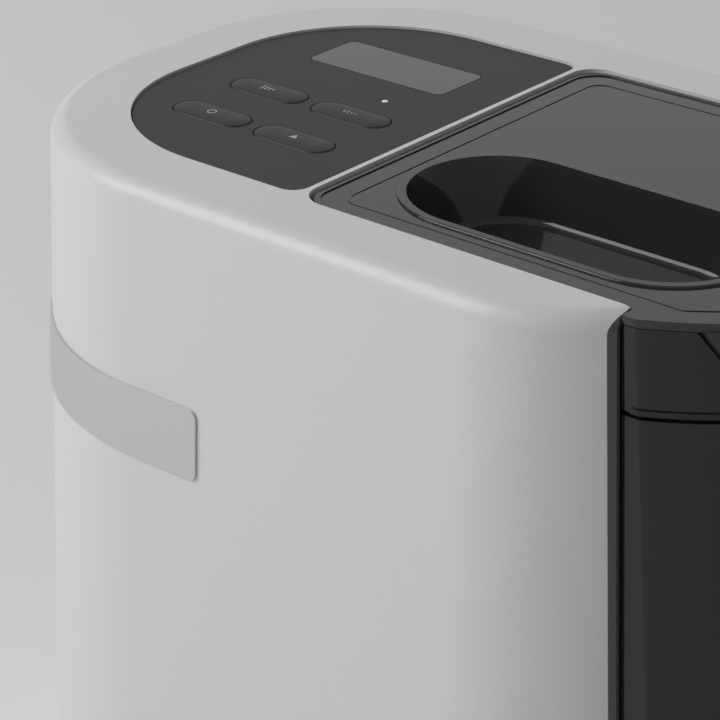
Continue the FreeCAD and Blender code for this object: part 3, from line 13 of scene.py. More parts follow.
import bmesh
import bpy
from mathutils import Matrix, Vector

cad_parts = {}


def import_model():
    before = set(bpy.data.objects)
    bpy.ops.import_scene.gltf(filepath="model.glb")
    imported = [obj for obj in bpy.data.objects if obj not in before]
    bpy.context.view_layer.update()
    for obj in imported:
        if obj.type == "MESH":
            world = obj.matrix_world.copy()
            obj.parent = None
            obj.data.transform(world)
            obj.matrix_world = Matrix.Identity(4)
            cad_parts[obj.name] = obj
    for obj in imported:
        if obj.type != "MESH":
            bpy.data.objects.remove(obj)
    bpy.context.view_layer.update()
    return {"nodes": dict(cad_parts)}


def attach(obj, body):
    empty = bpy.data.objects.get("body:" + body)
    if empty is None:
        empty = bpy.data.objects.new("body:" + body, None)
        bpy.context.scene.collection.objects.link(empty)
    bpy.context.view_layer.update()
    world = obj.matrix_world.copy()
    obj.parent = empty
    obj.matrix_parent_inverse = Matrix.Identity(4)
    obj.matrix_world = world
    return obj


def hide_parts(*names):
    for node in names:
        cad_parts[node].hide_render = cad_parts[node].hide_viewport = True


LOG = logging.getLogger("pasta_maker")
Test = Callable[[Vector, Vector], bool]
Corner = tuple[float, float, float]
Piece = bpy.types.Object

# One millimetre in Blender's metres
MM = 0.001
# Corners closer than this are merged, and faces that meet flatter than this are joined
CLOSE_MM = 0.03
FLAT_DEG = 0.3
# Share of a direction from which it counts as along an axis, and how near counts as in place
ALONG = 0.9
NEAR_MM = 0.01
# How far a cutting block stands past what it cuts, past an outer face, and out of the machine
PAST_MM = 1.0
CLEAR_MM = 9.0
SIDE_MM = 200.0
FAR_MM = 300.0
# Edges sharper than this are broken and stay visible edges
SHARP_DEG = 40.0
# Fineness of the noise patterns, and the range that most of their values lie in
GRAIN_DETAIL = 2.0
NOISE_LOW = 0.3
NOISE_HIGH = 0.7
# Places of the colour sockets on a Mix node, whose names repeat
MIX_FIRST = 6
MIX_SECOND = 7
MIX_RESULT = 2


class Kind(Enum):
    """What an edit selects."""

    VERT = "VERT"
    EDGE = "EDGE"
    FACE = "FACE"


class Cut(Enum):
    """How one solid acts on another."""

    AWAY = "DIFFERENCE"
    JOIN = "UNION"
    KEEP = "INTERSECT"


def linear(code: str) -> tuple[float, float, float, float]:
    """Turn an sRGB hex colour to linear light, by the sRGB standard's curve.

    Args:
        code: Colour such as "#C8C8C8".

    Returns:
        Red, green, blue and an alpha of 1.
    """
    values = [int(code[i:i + 2], 16) / 255 for i in (1, 3, 5)]
    return tuple(v / 12.92 if v <= 0.04045 else ((v + 0.055) / 1.055) ** 2.4 for v in values) + (1.0,)


def add_node(tree: bpy.types.NodeTree, kind: str, settings: dict | None = None,
             links: dict | None = None) -> bpy.types.Node:
    """Add a shader node with its settings and the links into it.

    Args:
        tree: Tree that gets the node.
        kind: Blender's name of the node type.
        settings: Socket or property names and their values.
        links: Input names and the (node, output name) that feeds each.

    Returns:
        The new node.
    """
    node = tree.nodes.new(kind)
    for name, value in (settings or {}).items():
        if name in node.inputs:
            node.inputs[name].default_value = value
        else:
            setattr(node, name, value)
    for name, (source, output) in (links or {}).items():
        tree.links.new(source.outputs[output], node.inputs[name])
    return node


@dataclass(frozen=True)
class Finish:
    """A surface: what it is made of, how it was made and what that gives the eye."""

    name: str
    colour: str
    roughness: float
    metallic: float = 0.0
    ior: float = 1.5
    alpha: float = 1.0
    coat: float = 0.0
    grain_mm: float = 0.0
    grain_depth_mm: float = 0.0
    grain_way: tuple[float, float, float] = (1.0, 1.0, 1.0)
    gloss_spread: float = 0.0
    speck_mm: float = 0.0
    speck_apart_mm: float = 20.0
    speck_colour: str = "#000000"
    speck_share: float = 0.0
    glow: float = 0.0

    def make(self) -> bpy.types.Material:
        """Build the Blender material once and hand out the same one after that.

        Returns:
            The material.
        """
        known = bpy.data.materials.get(self.name)
        if known:
            return known
        material = bpy.data.materials.new(self.name)
        material.use_nodes = True
        tree = material.node_tree
        shader = tree.nodes["Principled BSDF"]
        shader.inputs["Base Color"].default_value = linear(self.colour)
        shader.inputs["Roughness"].default_value = self.roughness
        shader.inputs["Metallic"].default_value = self.metallic
        shader.inputs["IOR"].default_value = self.ior
        shader.inputs["Alpha"].default_value = self.alpha
        shader.inputs["Coat Weight"].default_value = self.coat
        if self.glow:
            shader.inputs["Emission Color"].default_value = linear(self.colour)
            shader.inputs["Emission Strength"].default_value = self.glow
        if self.grain_mm or self.speck_mm:
            self._texture(tree, shader)
        return material

    def _texture(self, tree: bpy.types.NodeTree, shader: bpy.types.Node) -> None:
        """Lay the fine grain and the specks over the surface.

        Args:
            tree: The material's tree.
            shader: Its Principled node.
        """
        place = add_node(tree, "ShaderNodeTexCoord")
        if self.grain_mm:
            stretch = add_node(tree, "ShaderNodeMapping", {"Scale": self.grain_way},
                               {"Vector": (place, "Object")})
            grain = add_node(tree, "ShaderNodeTexNoise", {
                "Scale": 1 / (self.grain_mm * MM), "Detail": GRAIN_DETAIL}, {"Vector": (stretch, "Vector")})
            if self.grain_depth_mm:
                bump = add_node(tree, "ShaderNodeBump", {"Distance": self.grain_depth_mm * MM},
                                {"Height": (grain, "Fac")})
                tree.links.new(bump.outputs["Normal"], shader.inputs["Normal"])
            if self.gloss_spread:
                spread = add_node(tree, "ShaderNodeMapRange", {
                    "From Min": NOISE_LOW, "To Min": self.roughness - self.gloss_spread,
                    "From Max": NOISE_HIGH, "To Max": self.roughness + self.gloss_spread},
                    {"Value": (grain, "Fac")})
                tree.links.new(spread.outputs["Result"], shader.inputs["Roughness"])
        if self.speck_mm:
            specks = add_node(tree, "ShaderNodeTexVoronoi", {"Scale": 1 / (self.speck_apart_mm * MM)},
                              {"Vector": (place, "Object")})
            edge = self.speck_mm / self.speck_apart_mm
            mask = add_node(tree, "ShaderNodeMapRange", {
                "From Min": edge / 2, "From Max": edge, "To Min": self.speck_share, "To Max": 0.0},
                {"Value": (specks, "Distance")})
            mix = add_node(tree, "ShaderNodeMix", {"data_type": "RGBA"}, {"Factor": (mask, "Result")})
            mix.inputs[MIX_FIRST].default_value = linear(self.colour)
            mix.inputs[MIX_SECOND].default_value = linear(self.speck_colour)
            tree.links.new(mix.outputs[MIX_RESULT], shader.inputs["Base Color"])


# Moulded ABS, fine satin spark texture: a soft, broad highlight over white with a few faint specks
WHITE_ABS = Finish("white_abs_moulded", "#DFDFDF", 0.38, ior=1.53, grain_mm=0.9, grain_depth_mm=0.02,
                   gloss_spread=0.05, speck_mm=0.5, speck_apart_mm=24.0, speck_colour="#8E8B86",
                   speck_share=0.5)
# Soft-touch lacquer on the control panel: flat dark grey with a faint even sheen
PANEL_LACQUER = Finish("panel_soft_touch", "#272829", 0.55, ior=1.5, grain_mm=0.5, grain_depth_mm=0.008)
# The same lacquer on the button caps, a touch smoother than on the panel round them
BUTTON_CAP = Finish("button_cap_lacquer", "#262729", 0.5, ior=1.5, grain_mm=0.5, grain_depth_mm=0.006)
# Pad-printed pale symbols
SYMBOL_INK = Finish("symbol_ink_pale", "#B9BBBD", 0.6)
# Polished smoked polycarbonate: nearly black, and it mirrors the pale room at a low angle
SMOKED_PC = Finish("smoked_polycarbonate", "#333135", 0.07, ior=1.58, alpha=0.88, grain_mm=14.0,
                   grain_depth_mm=0.01, gloss_spread=0.02)
# The thicker smoked walls of the bowl and the front, a little browner in the light
SMOKED_WALL = Finish("smoked_polycarbonate_wall", "#242124", 0.1, ior=1.58, alpha=0.8, grain_mm=11.0,
                     grain_depth_mm=0.01)
# Edge strip of the same plastic, given a paler brown-grey that is painted light: the glow of a white wall
# seen through it, painted into its colour
STRIP_PC_PAINTED_LIGHT = Finish("smoked_polycarbonate_strip_painted_light", "#55504F", 0.12, ior=1.58, alpha=0.95, grain_mm=11.0,
                  grain_depth_mm=0.01)
# Stainless strip brushed along its length: long soft streaks
BAND_STEEL = Finish("stainless_brushed", "#DAD7D8", 0.34, metallic=0.9, grain_mm=0.5, grain_depth_mm=0.004,
                    grain_way=(0.03, 0.03, 1.0), gloss_spread=0.07)
# Turned and ground steel of shafts, pins and screws
TURNED_STEEL = Finish("steel_turned", "#B4B6B8", 0.28, metallic=1.0, grain_mm=0.4, grain_depth_mm=0.004,
                      grain_way=(1.0, 0.1, 0.1))
# Zinc-plated sheet of the motor bracket and the motor's can
PLATED_STEEL = Finish("steel_zinc_plated", "#9DA0A3", 0.42, metallic=0.95, grain_mm=6.0, gloss_spread=0.08)
# Die-cast aluminium, fine matt skin
CAST_ALUMINIUM = Finish("aluminium_die_cast", "#A3A5A7", 0.55, metallic=0.9, grain_mm=0.6,
                        grain_depth_mm=0.03)
# Moulded black ABS and nylon parts with a light spark texture
BLACK_ABS = Finish("black_abs_moulded", "#1D1D1F", 0.45, ior=1.53, grain_mm=0.5, grain_depth_mm=0.02)
# Natural nylon gear, slightly waxy
GEAR_NYLON = Finish("nylon_natural", "#DCD7C8", 0.5, ior=1.53, grain_mm=1.0, grain_depth_mm=0.01)
# Off-white food-grade acetal of the screw, paddle and disc
FOOD_ACETAL = Finish("acetal_food_grade", "#C9C7C0", 0.36, ior=1.48, grain_mm=1.2, grain_depth_mm=0.01)
# Translucent grey silicone seals
SEAL_SILICONE = Finish("silicone_seal", "#4A4A4C", 0.6, ior=1.41)
# Moulded rubber of the feet, dull and slightly dusty
FOOT_RUBBER = Finish("rubber_moulded", "#222224", 0.8, ior=1.52, grain_mm=0.8, grain_depth_mm=0.03)
# Solder-masked glass-fibre board
BOARD_GREEN = Finish("circuit_board_mask", "#1E5B36", 0.4, ior=1.5, grain_mm=0.7, grain_depth_mm=0.01)
# Sintered magnet, nickel plated
MAGNET_NICKEL = Finish("magnet_nickel", "#B9B7B0", 0.3, metallic=1.0)
# Coated display glass over a dark mask
DISPLAY_GLASS = Finish("display_glass_dark", "#0B0C0E", 0.05, ior=1.52, coat=0.3, grain_mm=20.0,
                       gloss_spread=0.01)
# Milky lens of the status lamp, lit
LAMP_LENS = Finish("status_lamp_lens", "#C9CCD0", 0.3, ior=1.5, glow=0.3)


def upright(_: Vector, way: Vector) -> bool:
    """Whether an edge stands upright."""
    return abs(way.z) > ALONG


def rear_upright(middle: Vector, way: Vector) -> bool:
    """Whether an edge stands upright in the rear half."""
    return upright(middle, way) and middle.x < 0


def level(z: float, within: float = NEAR_MM) -> Test:
    """Test for what lies at height z, give or take a distance."""
    return lambda middle, _: abs(middle.z - z) < within


@contextmanager
def editing(piece: Piece, kind: Kind) -> Iterator[bmesh.types.BMesh]:
    """Open a piece in edit mode with nothing selected.

    Args:
        piece: Piece to edit.
        kind: What the edit selects.

    Yields:
        The piece's edit mesh.
    """
    clear_selection()
    bpy.context.view_layer.objects.active = piece
    piece.select_set(True)
    bpy.ops.object.mode_set(mode="EDIT")
    bpy.ops.mesh.select_mode(type=kind.value)
    bpy.ops.mesh.select_all(action="DESELECT")
    yield bmesh.from_edit_mesh(piece.data)
    bpy.ops.object.mode_set(mode="OBJECT")


def clear_selection() -> None:
    """Deselect every object."""
    if bpy.context.object and bpy.context.object.mode != "OBJECT":
        bpy.ops.object.mode_set(mode="OBJECT")
    bpy.ops.object.select_all(action="DESELECT")


def choose(piece: Piece, mesh: bmesh.types.BMesh, kind: Kind, test: Test) -> int:
    """Select the elements that pass a test of place and direction.

    Args:
        piece: Piece being edited.
        mesh: Its edit mesh.
        kind: Vertices, edges or faces.
        test: Takes the middle in millimetres, and the normal or the edge's direction.

    Returns:
        How many were selected.
    """
    count = 0
    if kind is Kind.EDGE:
        items = [(e, (e.verts[0].co + e.verts[1].co) / 2, (e.verts[1].co - e.verts[0].co).normalized())
                 for e in mesh.edges]
    elif kind is Kind.FACE:
        items = [(f, f.calc_center_median(), f.normal) for f in mesh.faces]
    else:
        items = [(v, v.co, v.normal) for v in mesh.verts]
    for item, middle, way in items:
        if test(middle / MM, way):
            item.select_set(True)
            count += 1
    mesh.select_flush_mode()
    bmesh.update_edit_mesh(piece.data)
    return count


def settle(piece: Piece, name: str) -> Piece:
    """Name a new primitive and put its place and size into its mesh.

    Args:
        piece: The primitive.
        name: Its name.

    Returns:
        The same object, at the origin.
    """
    piece.name = name
    piece.data.name = name
    clear_selection()
    piece.select_set(True)
    bpy.context.view_layer.objects.active = piece
    bpy.ops.object.transform_apply(location=True, rotation=True, scale=True)
    return piece


def add_block(name: str, low: Corner, high: Corner) -> Piece:
    """Add a box between two corners.

    Args:
        name: Name of the piece.
        low: Lowest corner.
        high: Highest corner.

    Returns:
        The box.
    """
    clear_selection()
    middle = [(a + b) / 2 * MM for a, b in zip(low, high)]
    bpy.ops.mesh.primitive_cube_add(size=1.0, location=middle)
    piece = bpy.context.object
    piece.scale = [(b - a) * MM for a, b in zip(low, high)]
    return settle(piece, name)


def add_drum(name: str, start: Corner, length: float, radius: float, far_radius: float | None = None,
             lying: bool = False, sides: int = 96) -> Piece:
    """Add a cylinder or a cone.

    Args:
        name: Name of the piece.
        start: Centre of the end with the lower coordinate.
        length: Length along the axis.
        radius: Radius at the start.
        far_radius: Radius at the other end, if it differs.
        lying: Whether its axis runs along X and not upright.
        sides: Number of flat sides.

    Returns:
        The drum.
    """
    clear_selection()
    turn = (0.0, math.pi / 2, 0.0) if lying else (0.0, 0.0, 0.0)
    step = Vector((length / 2, 0, 0)) if lying else Vector((0, 0, length / 2))
    bpy.ops.mesh.primitive_cone_add(
        vertices=sides, radius1=radius * MM, radius2=(radius if far_radius is None else far_radius) * MM,
        depth=length * MM, location=(Vector(start) + step) * MM, rotation=turn)
    return settle(bpy.context.object, name)


def round_edges(piece: Piece, radius: float, test: Test, segments: int) -> Piece:
    """Round the edges that pass a test.

    Args:
        piece: Piece to shape.
        radius: Radius of the rounding.
        test: Takes an edge's middle and direction.
        segments: Flat strips in the rounding.

    Returns:
        The piece.
    """
    with editing(piece, Kind.EDGE) as mesh:
        if choose(piece, mesh, Kind.EDGE, test):
            bpy.ops.mesh.bevel(offset=radius * MM, offset_type="OFFSET", segments=segments, profile=0.5,
                               affect="EDGES", clamp_overlap=True)
            bpy.ops.mesh.select_all(action="SELECT")
            bpy.ops.mesh.remove_doubles(threshold=CLOSE_MM * MM)
    return piece


def halve(piece: Piece, point: Corner, away: Corner) -> Piece:
    """Cut a piece at a plane, drop what lies beyond and close the cut.

    Args:
        piece: Piece to cut.
        point: A point of the plane.
        away: Direction of the side that goes.

    Returns:
        The piece.
    """
    with editing(piece, Kind.FACE):
        bpy.ops.mesh.select_all(action="SELECT")
        bpy.ops.mesh.bisect(plane_co=Vector(point) * MM, plane_no=Vector(away).normalized(), use_fill=True,
                            clear_outer=True)
    return piece


def work(piece: Piece, tool: Piece, cut: Cut = Cut.AWAY) -> Piece:
    """Cut, join or keep a solid with another, which is used up.

    Args:
        piece: Solid that stays.
        tool: Solid that acts on it.
        cut: What it does.

    Returns:
        The piece.
    """
    clear_selection()
    piece.select_set(True)
    bpy.context.view_layer.objects.active = piece
    step = piece.modifiers.new("cut", "BOOLEAN")
    step.operation = cut.value
    step.solver = "EXACT"
    step.object = tool
    bpy.ops.object.modifier_apply(modifier=step.name)
    bpy.data.objects.remove(tool, do_unlink=True)
    return piece


def soften(piece: Piece, radius: float, angle_deg: float = SHARP_DEG,
           segments: int = 2) -> Piece:
    """Break the sharp edges, smooth the rest and close the mesh cleanly.

    Args:
        piece: Piece to finish.
        radius: Radius of the broken edges, or 0 for none.
        angle_deg: Edges sharper than this are broken.
        segments: Strips across a broken edge.

    Returns:
        The piece.
    """
    with editing(piece, Kind.VERT):
        bpy.ops.mesh.select_all(action="SELECT")
        bpy.ops.mesh.remove_doubles(threshold=CLOSE_MM * MM)
        bpy.ops.mesh.dissolve_limited(angle_limit=math.radians(FLAT_DEG))
        bpy.ops.mesh.normals_make_consistent(inside=False)
    clear_selection()
    piece.select_set(True)
    bpy.context.view_layer.objects.active = piece
    if radius:
        edge = piece.modifiers.new("edge", "BEVEL")
        edge.width = radius * MM
        edge.segments = segments
        edge.limit_method = "ANGLE"
        edge.angle_limit = math.radians(angle_deg)
        edge.use_clamp_overlap = True
        bpy.ops.object.modifier_apply(modifier=edge.name)
    bpy.ops.object.shade_smooth_by_angle(angle=math.radians(angle_deg))
    even = piece.modifiers.new("even", "WEIGHTED_NORMAL")
    even.keep_sharp = True
    bpy.ops.object.modifier_apply(modifier=even.name)
    return piece


def hand_over(piece: Piece, finish: Finish, body: str, slot: str, *nodes: str) -> None:
    """Dress a finished piece and tie it to the frame.

    Args:
        piece: The piece.
        finish: Its surface.
        body: CAD body that it moves with.
        slot: The record's material slot; not used.
        nodes: CAD nodes that it stands for.
    """
    piece.data.materials.clear()
    piece.data.materials.append(finish.make())
    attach(piece, body)
    if nodes:
        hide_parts(*nodes)
    LOG.info("%s: %d faces on %s", piece.name, len(piece.data.polygons), body)


@dataclass
class Pad:
    """Rounded outline in plan. With no corner radius its ends are half-round."""

    x: float
    y: float
    length: float
    width: float
    steps: int
    corner_r: float | None = None

    def block(self, name: str, grow: float, low: float, high: float) -> Piece:
        """Upright block with the outline.

        Args:
            name: Name of the piece.
            grow: How far it is larger all round.
            low: Its bottom.
            high: Its top.

        Returns:
            The block.
        """
        half_x = self.length / 2 + grow
        half_y = self.width / 2 + grow
        block = add_block(name, (self.x - half_x, self.y - half_y, low),
                          (self.x + half_x, self.y + half_y, high))
        radius = half_y - NEAR_MM if self.corner_r is None else self.corner_r
        return round_edges(block, radius, upright, self.steps)


@dataclass
class Envelope:
    """The machine's outline in plan, and how it widens towards the table."""

    height: float = 285.0
    half_width: float = 107.5
    rear: float = -165.0
    side_front_x: float = 62.0
    rear_r: float = 90.0
    rear_steps: int = 28
    front_r: float = 58.0
    front_steps: int = 20
    flare_deg: float = 2.4
    nose_x: float = 70.0
    nose_r: float = 95.0
    nose_sides: int = 240
    nose_end_y: float = 86.3
    nose_end_r: float = 2.8
    nose_end_steps: int = 5
    nose_end_reach: float = 0.5
    nose_back_x: float = 97.0
    white_edge_x: float = 104.5
    white_edge_lean: float = 0.055

    def flare(self, z: float) -> float:
        """How far the walls stand out at height z, past their outline at the top."""
        return (self.height - z) * math.tan(math.radians(self.flare_deg))

    def block(self, name: str, inset: float, low: float, high: float) -> Piece:
        """Solid inside the casing's flared walls.

        Args:
            name: Name of the piece.
            inset: How far inside the walls it stays.
            low: Its bottom.
            high: Its top.

        Returns:
            The solid.
        """
        out = self.flare(high) - inset
        piece = add_block(name, (self.rear - out, -self.half_width - out, low),
                          (self.side_front_x + self.front_r + out, self.half_width + out, high))
        round_edges(piece, self.rear_r + out, rear_upright, self.rear_steps)
        round_edges(piece, self.front_r + out, lambda m, w: upright(m, w) and m.x > 0, self.front_steps)
        widen = self.flare(low) - self.flare(high)
        with editing(piece, Kind.FACE) as mesh:
            choose(piece, mesh, Kind.FACE, lambda m, n: n.z < -ALONG)
            bpy.ops.mesh.delete(type="ONLY_FACE")
        with editing(piece, Kind.VERT) as mesh:
            choose(piece, mesh, Kind.VERT, level(low))
            bpy.ops.transform.shrink_fatten(value=widen * MM, use_even_offset=True)
            bpy.ops.mesh.edge_face_add()
            bpy.ops.mesh.select_all(action="SELECT")
            bpy.ops.mesh.normals_make_consistent(inside=False)
        return piece

    def nose(self, name: str, inset: float, low: float, high: float) -> Piece:
        """Solid inside the smoked front.

        Args:
            name: Name of the piece.
            inset: How far inside its face it stays.
            low: Its bottom.
            high: Its top.

        Returns:
            The solid.
        """
        piece = add_drum(name, (self.nose_x, 0, low), high - low, self.nose_r + self.flare(low) - inset,
                         self.nose_r + self.flare(high) - inset, sides=self.nose_sides)
        half = self.nose_end_y - inset
        back = self.nose_back_x - (PAST_MM if inset > 0 else 0.0)
        halve(piece, (back, 0, 0), (-1, 0, 0))
        for side in (1, -1):
            halve(piece, (0, side * half, 0), (0, side, 0))
        if inset <= 0:
            round_edges(piece, self.nose_end_r, lambda m, w: upright(m, w) and m.x > back + PAST_MM
                        and abs(abs(m.y) - half) < self.nose_end_reach, self.nose_end_steps)
        return piece

    def nose_wall(self, name: str, outer: float, inner: float, low: float, high: float) -> Piece:
        """Curved wall between two insets of the smoked front.

        Args:
            name: Name of the piece.
            outer: Inset of its outer face.
            inner: Inset of its inner face.
            low: Its bottom.
            high: Its top.

        Returns:
            The wall.
        """
        wall = self.nose(name, outer, low, high)
        return work(wall, self.nose("wall_inside", inner, low - PAST_MM, high + PAST_MM))


@dataclass
class Casing:
    """White casing with its smoked edge strip and its steel band."""

    env: Envelope
    wall: float = 2.6
    top_thick: float = 5.6
    bottom_z: float = 6.0
    top_edge_r: float = 6.5
    top_edge_steps: int = 7
    edge_r: float = 0.5
    end_gap: float = 0.5
    passage_lap: float = 2.0
    mouth_rear_x: float = -24.6
    mouth_half_y: float = 81.6
    mouth_r: float = 10.0
    mouth_steps: int = 6
    strip_x: float = 103.3
    strip_round: float = 10.0
    strip_steps: int = 10
    strip_gap: float = 0.15
    recess_front_x: float = -26.6
    recess_border: float = 28.0
    recess_r: float = 6.5
    recess_steps: int = 6
    recess_depth: float = 3.2
    recess_rear_r: float = 62.0
    recess_rear_steps: int = 24
    wiring_low: tuple[float, float] = (-122.0, -60.0)
    wiring_high: tuple[float, float] = (-36.0, 56.0)
    wiring_depth: float = 12.0
    wiring_lap: float = 0.2
    inlet_z: float = 34.0
    inlet_half_w: float = 16.0
    inlet_half_h: float = 12.0
    inlet_depth: float = 20.0
    band_top: float = 212.0
    band_h: float = 26.0
    band_end_x: float = -44.0
    band_proud: float = 1.0
    band_corner_r: float = 3.0
    band_corner_steps: int = 6
    band_edge_r: float = 0.3

    def build(self) -> None:
        """Model and dress the casing, the strip and the band."""
        shell = self._shell()
        strip = shell.copy()
        strip.data = shell.data.copy()
        strip.name = "front_edge_strip"
        bpy.context.collection.objects.link(strip)
        work(shell, self._strip_tool(0.0))
        work(strip, self._strip_tool(self.strip_gap), Cut.KEEP)
        hand_over(soften(shell, self.edge_r), WHITE_ABS, "housing", "white_case", "body_shell")
        # The strip's paler colour is painted light, standing in for the white wall seen through it
        hand_over(soften(strip, self.edge_r), STRIP_PC_PAINTED_LIGHT, "housing", "smoked_clear")
        hand_over(self._band(), BAND_STEEL, "housing", "band_steel", "rear_band")

    def _shell(self) -> Piece:
        """Model the moulded shell.

        Returns:
            The shell.
        """
        env = self.env
        top = env.height
        deck = top - self.top_thick
        past = top + CLEAR_MM
        shell = env.block("casing", 0.0, self.bottom_z, top)
        round_edges(shell, self.top_edge_r, level(top), self.top_edge_steps)
        work(shell, env.block("inside", self.wall, self.bottom_z - PAST_MM, deck))
        work(shell, self._front_tool())
        half = env.nose_end_y + self.end_gap
        for name, x, high in (("passage", env.nose_back_x - self.passage_lap, deck),
                              ("front_gap", env.white_edge_x + self.end_gap, past)):
            work(shell, add_block(name, (x, -half, 0), (FAR_MM, half, high)))
        mouth = add_block("mouth", (self.mouth_rear_x, -self.mouth_half_y, deck - PAST_MM),
                          (FAR_MM, self.mouth_half_y, past))
        work(shell, round_edges(mouth, self.mouth_r, rear_upright, self.mouth_steps))
        work(shell, self.recess("recess", 0.0, top - self.recess_depth, past))
        work(shell, add_block("wiring", self.wiring_low + (top - self.wiring_depth,),
                              self.wiring_high + (top - self.recess_depth + self.wiring_lap,)))
        rear = env.rear - env.flare(self.inlet_z)
        wide, tall, z = self.inlet_half_w, self.inlet_half_h, self.inlet_z
        return work(shell, add_block("socket", (rear - CLEAR_MM, -wide, z - tall),
                                     (rear + self.inlet_depth, wide, z + tall)))

    def _strip_tool(self, gap: float) -> Piece:
        """Block whose rear is where white ends and the smoked edge strip begins.

        Args:
            gap: How far the strip stays clear of the white.

        Returns:
            The block.
        """
        top = self.env.height + self.strip_round / 3
        tool = add_block("strip_tool", (self.strip_x + gap, -SIDE_MM, 0), (FAR_MM, SIDE_MM, top - gap))
        round_edges(tool, self.strip_round, lambda m, w: abs(w.y) > ALONG and m.x < SIDE_MM
                    and m.z > self.env.height / 2, self.strip_steps)
        return self._lean(tool)

    def _front_tool(self) -> Piece:
        """Block that trims the casing's leaning front edge."""
        env = self.env
        return self._lean(add_block("front_trim", (env.white_edge_x, -SIDE_MM, 0),
                                    (FAR_MM, SIDE_MM, env.height + CLEAR_MM + PAST_MM)))

    def _lean(self, tool: Piece) -> Piece:
        """Draw the foot of a block's rear face forward, as the front edge leans.

        Args:
            tool: The block.

        Returns:
            The block.
        """
        env = self.env
        with editing(tool, Kind.VERT) as mesh:
            choose(tool, mesh, Kind.VERT, lambda m, n: m.x < SIDE_MM and m.z < PAST_MM)
            bpy.ops.transform.translate(value=(env.white_edge_lean * env.height * MM, 0, 0))
        return tool

    def recess(self, name: str, inset: float, low: float, high: float) -> Piece:
        """Upright block with the control panel's outline.

        Args:
            name: Name of the piece.
            inset: How far inside the recess it stays.
            low: Its bottom.
            high: Its top.

        Returns:
            The block.
        """
        rear = self.env.rear + self.recess_border + inset
        front = self.recess_front_x - inset
        half = self.env.half_width - self.recess_border - inset
        block = add_block(name, (rear, -half, low), (front, half, high))
        round_edges(block, self.recess_rear_r - inset, lambda m, w: upright(m, w) and m.x < front - PAST_MM,
                    self.recess_rear_steps)
        return round_edges(block, self.recess_r - inset, lambda m, w: upright(m, w) and m.x > front - PAST_MM,
                           self.recess_steps)

    def _band(self) -> Piece:
        """Model the steel band.

        Returns:
            The band.
        """
        low = self.band_top - self.band_h
        band = self.env.block("steel_band", -self.band_proud, low, self.band_top)
        work(band, self.env.block("band_inside", 0.0, low - PAST_MM, self.band_top + PAST_MM))
        halve(band, (self.band_end_x, 0, 0), (1, 0, 0))
        round_edges(band, self.band_corner_r, lambda m, w: abs(w.y) > ALONG
                    and abs(m.x - self.band_end_x) < NEAR_MM, self.band_corner_steps)
        return soften(band, self.band_edge_r)


class Symbol(Enum):
    """What is printed on a button."""

    RING = "ring"
    TRIANGLE = "triangle"
    BARS = "bars"
    DASHES = "dashes"


@dataclass
class Button:
    """One push button with a printed symbol."""

    name: str
    symbol: Symbol
    x: float
    y: float


